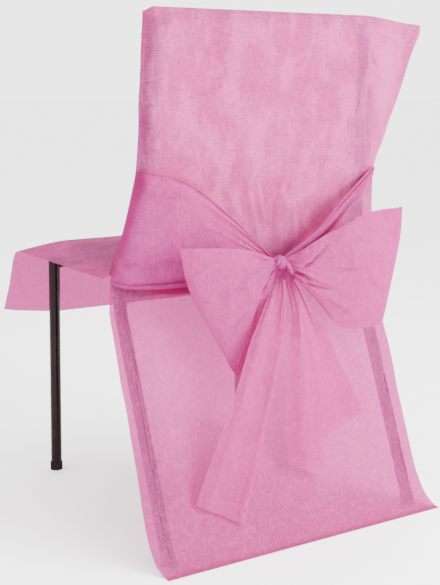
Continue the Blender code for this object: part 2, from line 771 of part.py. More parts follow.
def sash_band_left():
    """The sash spread wide from the left seam, gathered to the knot."""
    def offset(t, v):
        belly = BAND_LEFT_BELLY * math.sin(math.pi * v) * math.sin(math.pi * t)
        return belly + folds_at(BAND_LEFT_FOLDS, v) * smooth(t / BAND_LEFT_FADE_IN) * (1.0 - t)
    edges = ((0.0, BAND_LEFT_TOP), (1.0, BAND_LEFT_BOTTOM))
    rows = strip_rows(edges, even_stations(SASH_STEPS), BAND_LEFT_ACROSS, offset)
    return sheet("sash_band_left", rows, "cloth")


def sash_band_right():
    """The sash rolled up on itself from the right seam to the knot."""
    path = [row[:3] for row in BAND_RIGHT_PATH]
    sizes = [(row[3], row[4], 0.0) for row in BAND_RIGHT_PATH]
    nearby = 0.02
    rings = []
    for t in even_stations(SASH_STEPS):
        middle = spline_point(path, t)
        width, thick, _ = spline_point(sizes, t)
        run = (spline_point(path, t + nearby) - spline_point(path, t - nearby)).normalized()
        out = Vector((0.0, -1.0, 0.0))
        out = (out - run * out.dot(run)).normalized()
        up = run.cross(out)
        ring = []
        for c in range(BAND_RIGHT_SIDES):
            angle = 2.0 * math.pi * c / BAND_RIGHT_SIDES
            ring.append(middle + up * (width / 2.0 * math.cos(angle))
                        + out * (thick / 2.0 * math.sin(angle)))
        rings.append(ring)
    return loft("sash_band_right", rings, "cloth")


def sash_knot():
    """The knot: one turn of the sash pulled tight, a squashed ball with a waist."""
    rings = []
    for k in range(1, KNOT_RINGS + 1):
        v = math.pi * k / (KNOT_RINGS + 1)
        ring = []
        for c in range(KNOT_SIDES):
            angle = 2.0 * math.pi * c / KNOT_SIDES
            waist = 1.0 - KNOT_WAIST * math.cos(2.0 * angle) * math.sin(v)
            ring.append((
                KNOT_CENTRE[0] + KNOT_SIZE[0] / 2.0 * math.sin(v) * math.cos(angle) * waist,
                KNOT_CENTRE[1] + KNOT_SIZE[1] / 2.0 * math.sin(v) * math.sin(angle) * waist,
                KNOT_CENTRE[2] - KNOT_SIZE[2] / 2.0 * math.cos(v),
            ))
        rings.append(ring)
    return loft("sash_knot", rings, "cloth")


def bow_loop(name, edges):
    """A loop of the sash: two layers from the knot out to a fold."""
    def offset_of(layer):
        def offset(t, v):
            fullness = math.sin(math.pi * t ** LOOP_FULLEST) * math.sqrt(math.sin(math.pi * v))
            pleat = folds_at(LOOP_PLEATS, v) * smooth((LOOP_PLEATS_END - t) / 0.5)
            return layer * (LOOP_FOLD + LOOP_PUFF * fullness) + pleat
        return offset
    back = strip_rows(edges, LOOP_STATIONS, LOOP_ACROSS, offset_of(-1))
    fold = strip_rows(edges, (1.0,), LOOP_ACROSS, offset_of(0))
    front = strip_rows(edges, LOOP_STATIONS, LOOP_ACROSS, offset_of(1))
    return sheet(name, back + fold + front[::-1], "cloth")


def bow_tail(name, edges, folds):
    """A free end of the sash, pleated at the knot and opening out to its cut end."""
    def offset(t, v):
        return folds_at(folds, v) * smooth(t / TAIL_FADE_IN)
    return sheet(name, strip_rows(edges, even_stations(SASH_STEPS), TAIL_ACROSS, offset), "cloth")


def gather_under_origin():
    """Parent every part to one empty, which carries the object to its origin."""
    anchor = bpy.data.objects.new("origin", None)
    anchor.empty_display_size = 0.1
    parts = bpy.data.collections[COLLECTION_NAME]
    parts.objects.link(anchor)
    for part in list(parts.objects):
        if part is not anchor:
            part.parent = anchor
    anchor.location = (-FOOTPRINT_X, -FOOTPRINT_Y, 0.0)


def build():
    clear_scene()
    new_collection(COLLECTION_NAME)
    for side, word in ((-1.0, "left"), (1.0, "right")):
        rear_frame("frame_rear_" + word, side)
        front_frame("frame_front_" + word, side)
    cross_tube("frame_cross_rear", rear_tube_at(CROSS_Z + TUBE_RADIUS)[0], rear_tube_at(CROSS_Z)[1])
    cross_tube("frame_cross_front", FRONT_LEG_TOP[0], FRONT_LEG_TOP[1])
    seat_pad()
    back_board()
    cover_back()
    cover_front()
    sash_band_left()
    sash_band_right()
    sash_knot()
    bow_loop("bow_loop_left", LOOP_LEFT_EDGES)
    bow_loop("bow_loop_right", LOOP_RIGHT_EDGES)
    bow_tail("bow_tail_left", TAIL_LEFT_EDGES, TAIL_LEFT_FOLDS)
    bow_tail("bow_tail_right", TAIL_RIGHT_EDGES, TAIL_RIGHT_FOLDS)
    gather_under_origin()
    bpy.context.view_layer.update()


build()
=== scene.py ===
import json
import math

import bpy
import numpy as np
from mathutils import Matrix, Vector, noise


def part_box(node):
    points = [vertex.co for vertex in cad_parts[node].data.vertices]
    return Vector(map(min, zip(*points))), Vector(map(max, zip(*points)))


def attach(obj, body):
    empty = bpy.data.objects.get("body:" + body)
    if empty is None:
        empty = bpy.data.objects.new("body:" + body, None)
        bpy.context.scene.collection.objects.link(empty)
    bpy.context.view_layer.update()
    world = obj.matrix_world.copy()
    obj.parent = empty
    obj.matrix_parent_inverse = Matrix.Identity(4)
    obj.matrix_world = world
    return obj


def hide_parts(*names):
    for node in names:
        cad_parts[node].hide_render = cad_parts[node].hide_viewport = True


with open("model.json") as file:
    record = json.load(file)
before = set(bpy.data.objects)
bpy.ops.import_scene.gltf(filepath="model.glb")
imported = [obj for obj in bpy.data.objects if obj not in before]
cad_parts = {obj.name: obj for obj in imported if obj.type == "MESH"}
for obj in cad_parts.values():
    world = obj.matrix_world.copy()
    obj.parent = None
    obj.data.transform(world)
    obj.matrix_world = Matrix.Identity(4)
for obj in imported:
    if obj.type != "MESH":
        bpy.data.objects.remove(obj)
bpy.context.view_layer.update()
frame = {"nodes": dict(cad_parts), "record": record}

# Chair cover with a sash and bow, on a plain tube-framed chair.
#
# Cloth positions below are in metres about the chair's own middle, as a maker would measure
# them: x from the middle line, y from just behind the seat pad, z from the floor. in_row_frame()
# carries them to the frame's coordinates. "Out" on the back of the chair is towards -Y.

# ---- places read from the frame ----
SEAT_REAR_Y = 0.004
LEFT_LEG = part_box("frame_rear_left")
RIGHT_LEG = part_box("frame_rear_right")
CHAIR = np.array(((LEFT_LEG[0].x + RIGHT_LEG[1].x) / 2.0,
                  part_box("seat_pad")[0].y - SEAT_REAR_Y,
                  0.0))
TUBE_TOP = RIGHT_LEG[1].z
TOP_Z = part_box("cover_back")[1].z - 0.0006
WRAP_RADIUS = 0.01485         # middle of the cloth from the middle of a tube
SEAM_LIFT = 0.0004            # each layer's distance from the seam

# ---- small tools ----
def smooth(t):
    t = np.clip(t, 0.0, 1.0)
    return t * t * (3.0 - 2.0 * t)


def bell(t):
    """A soft bump: 1 at t = 0, 0 beyond t = -1 and t = 1."""
    return smooth(1.0 - np.abs(t))


def crest(t):
    """A fold's cross-section: narrow at the top, wide and soft at the foot, steeper on one side."""
    t = np.abs(t) * np.where(t > 0.0, 1.15, 0.90)
    return np.exp(-1.6 * t ** 1.35)


def unit(vectors):
    """Each vector at length one."""
    return vectors / np.maximum(np.linalg.norm(vectors, axis=-1, keepdims=True), 1e-12)


def table_at(rows, at):
    """Values of a short table at one or many keys, on a smooth curve through its rows."""
    rows = np.array(sorted(rows), float)
    keys, values = rows[:, 0], rows[:, 1:]
    last = len(keys) - 1
    before = np.maximum(np.arange(last + 1) - 1, 0)
    after = np.minimum(np.arange(last + 1) + 1, last)
    slopes = (values[after] - values[before]) / (keys[after] - keys[before])[:, None]
    at = np.clip(np.asarray(at, float), keys[0], keys[-1])
    i = np.clip(np.searchsorted(keys, at, side="right") - 1, 0, last - 1)
    span = (keys[i + 1] - keys[i])[..., None]
    u = (at - keys[i])[..., None] / span
    return (values[i] * (2 * u**3 - 3 * u**2 + 1) + slopes[i] * span * (u**3 - 2 * u**2 + u)
            + values[i + 1] * (3 * u**2 - 2 * u**3) + slopes[i + 1] * span * (u**3 - u**2))


def spline_at(points, at):
    """Points at 0..1 on the smooth curve through evenly counted points."""
    last = len(points) - 1
    return table_at([(k / last, *point) for k, point in enumerate(points)], at)


def tube_line(node, heights):
    """Middle of an upright tube at each height, from the node's own mesh."""
    mesh = frame["nodes"][node].data
    points = np.array([v.co for v in mesh.vertices])
    ends = np.array([e.vertices for e in mesh.edges])
    low, high = points[ends[:, 0]], points[ends[:, 1]]
    rows = []
    for z in heights:
        crossing = (low[:, 2] - z) * (high[:, 2] - z) < 0.0
        a, b = low[crossing], high[crossing]
        at = a + (b - a) * ((z - a[:, 2]) / (b[:, 2] - a[:, 2]))[:, None]
        middle = (at.min(0) + at.max(0)) / 2.0 - CHAIR
        rows.append((z, middle[0], middle[1]))
    return rows


UPRIGHT = tube_line("frame_rear_right", np.linspace(0.405, TUBE_TOP - 0.004, 60))
LEG = tube_line("frame_rear_right", (0.06, 0.34))


def tube_at(z):
    """x and y of the right rear tube at any heights: a straight leg, then the bent upright."""
    z = np.asarray(z, float)
    (z0, x0, y0), (z1, x1, y1) = LEG
    t = (z - z0) / (z1 - z0)
    leg = np.stack((x0 + (x1 - x0) * t, y0 + (y1 - y0) * t), -1)
    return np.where((z < UPRIGHT[0][0])[..., None], leg, table_at(UPRIGHT, z))


def normals_of(grid):
    """Unit normals of a grid of points, one for each point."""
    down = np.gradient(grid, axis=0)
    across = np.gradient(grid, axis=1)
    return unit(np.cross(down, across))


def clouds(points, size, seed):
    """Smooth noise from about -1 to 1 at every point, with bumps of about the given size."""
    flat = points.reshape(-1, 3) / size
    shift = Vector((seed * 7.31, seed * 3.17, seed * 5.73))
    values = [noise.noise(Vector(p) + shift) for p in flat]
    return np.array(values).reshape(points.shape[:-1]) * 1.6


def creases(x, z, rows):
    """Height of listed folds at places on the cloth: each a bowed line that fades at its ends."""
    total = np.zeros_like(x)
    for x0, z0, x1, z1, bow, width, height in rows:
        run = np.array((x1 - x0, z1 - z0))
        length = np.hypot(*run)
        along = ((x - x0) * run[0] + (z - z0) * run[1]) / length**2
        aside = ((x - x0) * run[1] - (z - z0) * run[0]) / length
        aside = aside - bow * 4.0 * along * (1.0 - along)
        fade = smooth(along / 0.35) * smooth((1.0 - along) / 0.35)
        fade = np.where((along < 0.0) | (along > 1.0), 0.0, fade)
        total += height * crest(aside / width) * fade
    return total


def spots_of_tone_and_painted_light(x, z, rows):
    """Soft spots where the cloth is painted deeper (above 0) or paler (below 0) than its own colour, some of
    them painted light and shade.
    """
    total = np.zeros_like(x)
    for x0, z0, wide, tall, amount in rows:
        total += amount * np.exp(-((x - x0) / wide) ** 2 - ((z - z0) / tall) ** 2)
    return total


def eased(height, near):
    """Troughs made shallow where something lies right under the cloth."""
    return np.where(height < 0.0, height * (1.0 - 0.8 * near), height)


def rumple(points, seed, soft=0.0016, fine=0.0005):
    """The slight unevenness of loose cloth: soft swells and small sharp dents."""
    swell = clouds(points, 0.075, seed)
    dents = 1.0 - 2.0 * np.abs(clouds(points, 0.038, seed + 11))
    return soft * swell + fine * dents


def hollows(height, reach, depth):
    """How deep each place of a height field lies in a fold, 0 to 1, against the mean around it.

    reach is the mean's width in steps of the grid, and depth is what counts as 1.
    """
    mean = height
    for axis in (0, 1):
        count = height.shape[axis]
        padded = np.pad(mean, [(reach, reach) if k == axis else (0, 0) for k in (0, 1)], "edge")
        shifted = [np.take(padded, range(k, k + count), axis) for k in range(2 * reach + 1)]
        mean = sum(shifted) / len(shifted)
    return np.clip((mean - height) / depth, 0.0, 1.0)


def in_row_frame(grid):
    """From the chair's own coordinates to the frame's."""
    return grid + CHAIR


def add_object(name, data):
    """A new object in the scene."""
    thing = bpy.data.objects.new(name, data)
    bpy.context.scene.collection.objects.link(thing)
    return thing


def add_cloth(name, grids, folds, material, closed=False):
    """One smooth mesh through one or more grids of points; closed joins last columns to first.

    folds are the painted light and shade at the grids' points, kept in the mesh's fold attribute: 1 is the
    deepest painted shade, as in a fold, 0 is plain and below 0 is paler painted light.
    """
    points, faces, depths = [], [], []
    for grid, fold in zip(grids, folds):
        start = len(points)
        count, across = grid.shape[:2]
        for r in range(count - 1):
            for c in range(across if closed else across - 1):
                d = (c + 1) % across
                corners = (r * across + c, (r + 1) * across + c, (r + 1) * across + d, r * across + d)
                faces.append([start + k for k in corners])
        points.extend(in_row_frame(grid).reshape(-1, 3).tolist())
        depths.extend(np.broadcast_to(fold, (count, across)).ravel().tolist())
    mesh = bpy.data.meshes.new(name)
    mesh.from_pydata(points, [], faces)
    mesh.shade_smooth()
    mesh.attributes.new("fold", "FLOAT", "POINT").data.foreach_set("value", depths)
    mesh.materials.append(material)
    piece = add_object(name, mesh)
    return piece


def stand_for(piece, node):
    """The fine piece rides on the chair and is shown in place of its plain solid."""
    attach(piece, "root")
    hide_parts(node)
    return piece


# ---- materials ----
class Nodes:
    """A short way to write a material's node tree."""

    def __init__(self, name):
        self.material = bpy.data.materials.new(name)
        self.material.use_nodes = True
        self.tree = self.material.node_tree
        self.shader = self.tree.nodes["Principled BSDF"]
        self.output = self.tree.nodes["Material Output"]
        self.place = self.add("ShaderNodeTexCoord").outputs["Object"]

    def add(self, kind, **values):
        node = self.tree.nodes.new(kind)
        for key, value in values.items():
            setattr(node, key, value)
        return node

    def link(self, source, target):
        self.tree.links.new(source, target)

    def scaled(self, x, y, z):
        mapping = self.add("ShaderNodeMapping")
        mapping.inputs["Scale"].default_value = (x, y, z)
        self.link(self.place, mapping.inputs["Vector"])
        return mapping.outputs["Vector"]

    def noise(self, scale, detail=2.0, roughness=0.5, place=None, distortion=0.0):
        node = self.add("ShaderNodeTexNoise")
        node.inputs["Scale"].default_value = scale
        node.inputs["Detail"].default_value = detail
        node.inputs["Roughness"].default_value = roughness
        node.inputs["Distortion"].default_value = distortion
        self.link(place or self.place, node.inputs["Vector"])
        return node.outputs["Fac"]

    def between(self, value, low, high, out_low=0.0, out_high=1.0):
        node = self.add("ShaderNodeMapRange")
        node.interpolation_type = "SMOOTHSTEP"
        self.link(value, node.inputs["Value"])
        for key, number in (("From Min", low), ("From Max", high), ("To Min", out_low), ("To Max", out_high)):
            node.inputs[key].default_value = number
        return node.outputs["Result"]

    def put(self, value, target):
        """A plain value or another node's output into a socket."""
        if hasattr(value, "is_output"):
            self.link(value, target)
        else:
            target.default_value = value

    def mix(self, fac, first, second):
        node = self.add("ShaderNodeMix", data_type="RGBA")
        for socket, kind, value in (("Factor", "VALUE", fac), ("A", "RGBA", first), ("B", "RGBA", second)):
            self.put(value, next(s for s in node.inputs if s.name == socket and s.type == kind))
        return next(s for s in node.outputs if s.type == "RGBA")

    def coat(self, **sockets):
        """The surface's own sockets, named with _ for each space."""
        for name, value in sockets.items():
            self.put(value, self.shader.inputs[name.replace("_", " ")])

    def bump(self, height, strength, distance, under=None):
        node = self.add("ShaderNodeBump")
        node.inputs["Strength"].default_value = strength
        node.inputs["Distance"].default_value = distance
        self.link(height, node.inputs["Height"])
        if under is not None:
            self.link(under, node.inputs["Normal"])
        return node.outputs["Normal"]


COVER_TONES = ((0.42, 0.058, 0.225, 1.0), (0.24, 0.016, 0.100, 1.0), (0.90, 0.170, 0.52, 1.0))
SASH_TONES = ((0.66, 0.074, 0.370, 1.0), (0.40, 0.020, 0.180, 1.0), (0.90, 0.165, 0.56, 1.0))
# colour of the painted shade in folds, creases and shaded places
PINK_PAINTED_SHADE = (0.34, 0.004, 0.11, 1.0)
PINK_GLOW = (0.34, 0.040, 0.17, 1.0)
PINK_FILTER = (0.42, 0.062, 0.22, 1.0)
PAINTED_LIGHT_HEIGHTS = (0.42, 0.58)    # heights between which painted light makes the cloth paler, where it lies on the board
SEE_THROUGH = 0.50            # share of the cloth that shows what lies behind it
LIGHT_THROUGH = 0.40          # share of the rest that glows with the light on its other side


def cloth_material(name, tones, backrest_painted_light):
    """Thin non-woven cloth: cloudy fibres, fine speckle, a little see-through.

    tones are its middle, deep and pale pinks; the last argument is how much painted light makes it paler up
    on the backrest, where the board lies behind it.
    """
    middle, deep, pale = tones
    n = Nodes(name)
    patches = n.noise(30.0, 4.0, 0.60, n.scaled(1.0, 1.0, 0.45), 0.3)
    drifts = n.noise(8.0, 3.0, 0.55, n.scaled(1.0, 1.0, 0.6), 0.4)
    clumps = n.noise(120.0, 4.0, 0.6, n.scaled(1.0, 1.0, 0.7))
    fibres = n.noise(420.0, 3.0, 0.7)
    streaks = n.noise(420.0, 2.0, 0.6, n.scaled(1.0, 1.0, 0.10))
    threads = n.noise(420.0, 2.0, 0.6, n.scaled(0.10, 0.10, 1.0))
    height = n.add("ShaderNodeSeparateXYZ")
    n.link(n.place, height.inputs["Vector"])
    # painted light: up on the backrest the cloth and its pale cloud patches are painted paler, standing for
    # the board's light shining back through
    paler = n.between(height.outputs["Z"], *PAINTED_LIGHT_HEIGHTS, 0.0, backrest_painted_light)
    colour = n.mix(paler, middle, pale)
    colour = n.mix(n.between(drifts, 0.34, 0.66, 0.25, 0.0), colour, deep)
    patched = n.mix(n.between(patches, 0.42, 0.60, 0.0, 0.95), n.mix(0.35, colour, deep), pale)
    colour = n.mix(n.between(height.outputs["Z"], *PAINTED_LIGHT_HEIGHTS, 0.0, backrest_painted_light), colour, patched)
    colour = n.mix(n.between(clumps, 0.45, 0.70, 0.0, 0.25), colour, pale)
    colour = n.mix(n.between(fibres, 0.46, 0.68, 0.0, 0.65), colour, deep)
    colour = n.mix(n.between(streaks, 0.48, 0.70, 0.0, 0.30), colour, pale)
    colour = n.mix(n.between(threads, 0.50, 0.72, 0.0, 0.35), colour, deep)
    # painted light and shade from the mesh's fold attribute: above 0 the colour is painted deeper, as shade
    # in folds, below 0 painted paler, as light
    fold = n.add("ShaderNodeAttribute", attribute_name="fold").outputs["Fac"]
    colour = n.mix(n.between(fold, -1.0, 0.0, 0.85, 0.0), colour, pale)
    colour = n.mix(n.between(fold, 0.0, 1.0, 0.0, 0.92), colour, PINK_PAINTED_SHADE)
    swells = n.bump(clumps, 0.30, 0.0012)
    surface = n.bump(fibres, 0.35, 0.0004, swells)
    n.coat(Base_Color=colour, Normal=surface, Roughness=0.88, Specular_IOR_Level=0.12,
           Sheen_Weight=0.08, Sheen_Roughness=0.45, Sheen_Tint=(1.0, 0.65, 0.85, 1.0))
    glow = n.add("ShaderNodeBsdfTranslucent")
    glow.inputs["Color"].default_value = PINK_GLOW
    n.link(surface, glow.inputs["Normal"])
    body = n.add("ShaderNodeMixShader")
    body.inputs["Fac"].default_value = LIGHT_THROUGH
    n.link(n.shader.outputs["BSDF"], body.inputs[1])
    n.link(glow.outputs["BSDF"], body.inputs[2])
    gaps = n.add("ShaderNodeBsdfTransparent")
    gaps.inputs["Color"].default_value = PINK_FILTER
    weave = n.add("ShaderNodeMixShader")
    weave.inputs["Fac"].default_value = SEE_THROUGH
    n.link(body.outputs["Shader"], weave.inputs[1])
    n.link(gaps.outputs["BSDF"], weave.inputs[2])
    n.link(weave.outputs["Shader"], n.output.inputs["Surface"])
    return n.material


def frame_material(name, smoothest, roughest):
    """Dark brown lacquer on tube, with a faint orange peel."""
    n = Nodes(name)
    wear = n.noise(26.0, 4.0, 0.6)
    colour = n.mix(n.between(wear, 0.45, 0.75), (0.006, 0.0022, 0.0016, 1.0), (0.013, 0.005, 0.004, 1.0))
    n.coat(Base_Color=colour, Roughness=n.between(wear, 0.30, 0.80, smoothest, roughest),
           Normal=n.bump(n.noise(420.0, 2.0), 0.12, 0.0003), Specular_IOR_Level=0.08,
           Coat_Weight=0.05, Coat_Roughness=0.15)
    return n.material


def pad_material():
    """Dark grained vinyl."""
    n = Nodes("pad_vinyl")
    grain = n.noise(260.0, 3.0, 0.6)
    colour = n.mix(n.between(grain, 0.35, 0.65), (0.030, 0.022, 0.026, 1.0), (0.055, 0.042, 0.048, 1.0))
    n.coat(Base_Color=colour, Roughness=0.55, Normal=n.bump(grain, 0.4, 0.0008))
    return n.material


def board_material():
    """Pale plywood with long grain."""
    n = Nodes("board_wood")
    grain = n.noise(60.0, 4.0, 0.6, n.scaled(0.12, 1.0, 1.0), 0.6)
    colour = n.mix(n.between(grain, 0.35, 0.68), (0.80, 0.74, 0.66, 1.0), (0.88, 0.84, 0.78, 1.0))
    n.coat(Base_Color=colour, Roughness=0.5, Normal=n.bump(grain, 0.2, 0.0006))
    return n.material


def foot_material():
    """Black moulded rubber."""
    n = Nodes("foot_rubber")
    scuff = n.noise(120.0, 3.0, 0.6)
    colour = n.mix(n.between(scuff, 0.45, 0.70), (0.006, 0.005, 0.005, 1.0), (0.016, 0.014, 0.014, 1.0))
    n.coat(Base_Color=colour, Roughness=0.85, Normal=n.bump(scuff, 0.2, 0.0006), Specular_IOR_Level=0.10)
    return n.material


def floor_material():
    """Pale matt studio paper."""
    n = Nodes("floor_paper")
    grain = n.noise(6.0, 2.0)
    colour = n.mix(n.between(grain, 0.3, 0.7), (0.92, 0.92, 0.92, 1.0), (0.95, 0.95, 0.95, 1.0))
    n.coat(Base_Color=colour, Roughness=0.8)
    return n.material


# ---- the cover, as a bag over the backrest ----
BAG_ROWS = (
    # z,     left,    right,  edge_lift (0 sewn to the other layer, 1 free)
    (0.885, -0.2365, 0.3530, 0.0),
    (0.840, -0.2375, 0.3385, 0.0),
    (0.785, -0.2382, 0.3220, 0.0),
    (0.730, -0.2394, 0.3010, 0.0),
    (0.678, -0.2412, 0.2820, 0.0),
    (0.628, -0.2438, 0.2650, 0.0),
    (0.580, -0.2510, 0.2700, 0.0),
    (0.534, -0.2600, 0.2770, 0.0),
    (0.480, -0.2740, 0.2810, 0.0),
    (0.445, -0.2800, 0.2830, 0.4),
    (0.400, -0.2880, 0.2850, 1.0),
)
TOP_DROOP_LEFT = 0.008        # the top corners hang lower than the top seam
TOP_DROOP_RIGHT = 0.014
TOP_DROOP_FROM_X = 0.215
TOP_DROOP_FROM_Z = 0.800
WAIST_Z = 0.400               # below this the back panel hangs free
ARC_STEPS = 8
LEFT_STEPS = 12
RIGHT_STEPS = 40
MIDDLE_STEPS = 120
CAP_ROWS = 8
BACKREST_ROWS = 118
WAIST_ROWS = 34
PANEL_STEPS = 110
HEM_ROWS = 5


def wrap_points(reach, lift, radius, line_steps):
    """Cloth from the crest of a tube to its own edge: (outward, lift) from the tube's centre."""
    span = math.hypot(reach, lift)
    leave = math.atan2(lift, reach) + math.acos(min(1.0, radius / span))
    leave = min(leave, math.pi / 2.0)
    angles = np.linspace(math.pi / 2.0, leave, ARC_STEPS + 1)
    arc = np.stack((radius * np.cos(angles), radius * np.sin(angles)), -1)
    t = np.linspace(0.0, 1.0, line_steps + 1)[1:, None]
    line = arc[-1] + (np.array((reach, lift)) - arc[-1]) * t
    return np.concatenate((arc, line))


def bag_section(z, radius):
    """One layer of the bag at a height: (x, offset from the tube line) from left to right."""
    left, right, free = table_at(BAG_ROWS, z)
    tube_x = float(tube_at(min(z, TUBE_TOP - 0.002))[0])
    lift = SEAM_LIFT + (radius - SEAM_LIFT) * max(0.0, free)
    left_side = wrap_points(-left - tube_x, lift, radius, LEFT_STEPS)[::-1] * (-1.0, 1.0)
    left_side[:, 0] -= tube_x
    right_side = wrap_points(right - tube_x, lift, radius, RIGHT_STEPS)
    right_side[:, 0] += tube_x
    middle = np.linspace(-tube_x, tube_x, MIDDLE_STEPS + 1)[1:-1]
    middle = np.stack((middle, np.full_like(middle, radius)), -1)
    return np.concatenate((left_side, middle, right_side))


def top_droop(x, z):
    """How far the top corners hang below the level of their row."""
    near_top = smooth((z - TOP_DROOP_FROM_Z) / (TOP_Z - TOP_DROOP_FROM_Z))
    _, left, right, _ = BAG_ROWS[0]
    at_left = TOP_DROOP_LEFT * smooth((x + TOP_DROOP_FROM_X) / (left + TOP_DROOP_FROM_X))
    at_right = TOP_DROOP_RIGHT * smooth((x - TOP_DROOP_FROM_X) / (right - TOP_DROOP_FROM_X))
    return np.where(x < 0.0, at_left, at_right) * near_top


def cap_heights():
    """Heights and half thicknesses where the bag closes over the backrest to its top seam."""
    angles = np.linspace(math.pi / 2.0 - 0.03, 0.0, CAP_ROWS, endpoint=False)
    heights = TUBE_TOP + (TOP_Z - TUBE_TOP) * np.sin(angles)
    radii = np.maximum(SEAM_LIFT, WRAP_RADIUS * np.cos(angles))
    return list(zip(heights, radii))


def bag_rows(side, lowest, count):
    """One layer of the bag from the top seam down to a height: side -1 is the back, +1 the front."""
    levels = cap_heights()
    levels += [(z, WRAP_RADIUS) for z in np.linspace(TUBE_TOP, lowest, count)]
    rows = []
    for z, radius in levels:
        section = bag_section(z, radius)
        tube_y = float(tube_at(z if z < TUBE_TOP - 0.002 else TUBE_TOP - 0.002)[1])
        x = section[:, 0]
        rows.append(np.stack((x, tube_y + side * section[:, 1], z - top_droop(x, z)), -1))
    return np.array(rows)


# ---- back panel ----
KNOT_X = -0.0040
PULL = (0.030, 0.475, 0.170, 0.130)       # height, z, reach across, reach up and down
PANEL_ROWS = (
    # z,      y_from_leg, left,    right
    (0.4000, 0.0000, -0.2880, 0.2850),
    (0.3600, 0.0000, -0.2892, 0.2860),
    (0.2800, 0.0000, -0.2916, 0.2870),
    (0.1900, 0.0000, -0.2930, 0.2845),
    (0.1100, -0.0010, -0.2965, 0.2828),
    (0.0750, -0.0030, -0.2985, 0.2822),
    (0.0480, -0.0060, -0.2990, 0.2820),
    (0.0280, -0.0100, -0.2985, 0.2830),
    (0.0130, -0.0160, -0.2965, 0.2860),
    (0.0040, -0.0250, -0.2930, 0.2890),
)
HEM_Y = -0.2080
HEM_FLAT = 0.014
HEM_HALF = 0.2910
PANEL_FOLDS = (
    # x,      width,  height (out), z_low, z_high
    (-0.235, 0.040, 0.005, 0.02, 0.40),
    (-0.110, 0.055, -0.006, 0.00, 0.34),
    (0.060, 0.050, 0.005, 0.00, 0.30),
    (0.175, 0.045, -0.006, 0.02, 0.42),
)
PANEL_HOLLOW = 0.020

BACK_CREASES = (
    # x0,    z0,     x1,     z1,     bow,    width,  height (out)
    # gathers that the knot draws up into the backrest
    (0.004, 0.475, -0.012, 0.640, 0.006, 0.0060, 0.0042),
    (0.016, 0.475, 0.030, 0.620, -0.004, 0.0055, 0.0046),
    (0.028, 0.480, 0.060, 0.640, -0.006, 0.0070, 0.0036),
    (-0.008, 0.478, -0.045, 0.650, 0.008, 0.0070, 0.0034),
    (-0.020, 0.480, -0.085, 0.620, 0.008, 0.0090, 0.0026),
    (0.040, 0.485, 0.100, 0.650, -0.008, 0.0090, 0.0026),
    (0.010, 0.500, 0.010, 0.700, 0.004, 0.0120, 0.0022),
    # soft pulls across the backrest
    (-0.190, 0.780, -0.060, 0.610, 0.012, 0.0180, 0.0020),
    (-0.215, 0.700, -0.120, 0.640, 0.006, 0.0140, 0.0022),
    (-0.120, 0.860, -0.020, 0.740, 0.010, 0.0200, -0.0018),
    (0.060, 0.830, 0.170, 0.700, -0.010, 0.0200, -0.0016),
    (0.120, 0.640, 0.205, 0.600, -0.004, 0.0120, 0.0022),
    # the loose corner: creases fan from the backrest's top corner into the pocket
    (0.205, 0.868, 0.262, 0.800, 0.006, 0.0060, -0.0046),
    (0.212, 0.850, 0.240, 0.742, 0.006, 0.0070, -0.0040),
    (0.214, 0.872, 0.318, 0.848, -0.006, 0.0080, 0.0034),
    (0.228, 0.830, 0.232, 0.640, 0.003, 0.0060, -0.0030),
    (0.240, 0.800, 0.300, 0.790, 0.006, 0.0110, 0.0028),
    # below the sash
    (-0.255, 0.395, -0.120, 0.330, 0.010, 0.0140, 0.0034),
    (-0.268, 0.350, -0.170, 0.220, 0.010, 0.0160, 0.0028),
    (-0.060, 0.400, -0.110, 0.180, 0.010, 0.0180, 0.0034),
    (0.105, 0.420, 0.175, 0.320, -0.008, 0.0140, 0.0034),
    (0.150, 0.380, 0.235, 0.180, -0.012, 0.0200, 0.0030),
    (0.030, 0.330, 0.050, 0.060, 0.008, 0.0220, -0.0030),
    (0.190, 0.200, 0.120, 0.030, 0.008, 0.0240, 0.0030),
    (-0.200, 0.180, -0.225, 0.020, 0.006, 0.0200, 0.0026),
)
SIDE_PAINTED_SHADE = 0.28             # painted shade: the cloth turning round the left tube, away from the light, is painted deeper in colour
SIDE_FROM = 0.212
SIDE_WIDTH = 0.022
TROUGH = 0.0040               # depth at which a crease in the cover gets its full painted shade
LAYER_GAP = 0.0003            # the bag's two layers stay this far from their middle
WELT_DROP = 0.0095            # the seam allowance shows as a faint ridge under the top seam
WELT_HEIGHT = 0.0007


def knot_pull(x, z):
    """The tied sash draws the back panel out into a soft hill."""
    height, middle, across, upright = PULL
    return height * bell((x - KNOT_X) / across) * bell((z - middle) / upright)


def panel_rows(first):
    """The free back panel, from under the waist to the hem's cut edge on the floor."""
    share = (first[:, 0] - first[0, 0]) / (first[-1, 0] - first[0, 0])
    heights = np.linspace(WAIST_Z, PANEL_ROWS[-1][0], PANEL_STEPS + 1)[1:]
    (z0, _, y0), (z1, _, y1) = LEG
    slope = math.hypot(1.0, (y1 - y0) / (z1 - z0))
    rows = []
    for z in heights:
        from_leg, left, right = table_at(PANEL_ROWS, z)
        x = left + (right - left) * share
        y = tube_at(z)[1] - WRAP_RADIUS * (1.0 + (slope - 1.0) * smooth((WAIST_Z - z) / 0.05)) + from_leg
        sag = bell(x / 0.260) * smooth(z / 0.200) * (1.0 - smooth(z / 0.450))
        y = y + PANEL_HOLLOW * sag
        for fold_x, width, height, low, high in PANEL_FOLDS:
            fade = smooth((z - low) / 0.080) * smooth((high - z) / 0.120)
            y = y - height * bell((x - fold_x) / width) * fade
        rows.append(np.stack((x, y, np.full_like(x, z)), -1))
    for t in np.linspace(0.0, 1.0, HEM_ROWS):
        y = HEM_Y + HEM_FLAT * (1.0 - t)
        x = -HEM_HALF + 2.0 * HEM_HALF * share
        rows.append(np.stack((x, np.full_like(x, y), np.full_like(x, 0.0009)), -1))
    return np.array(rows)


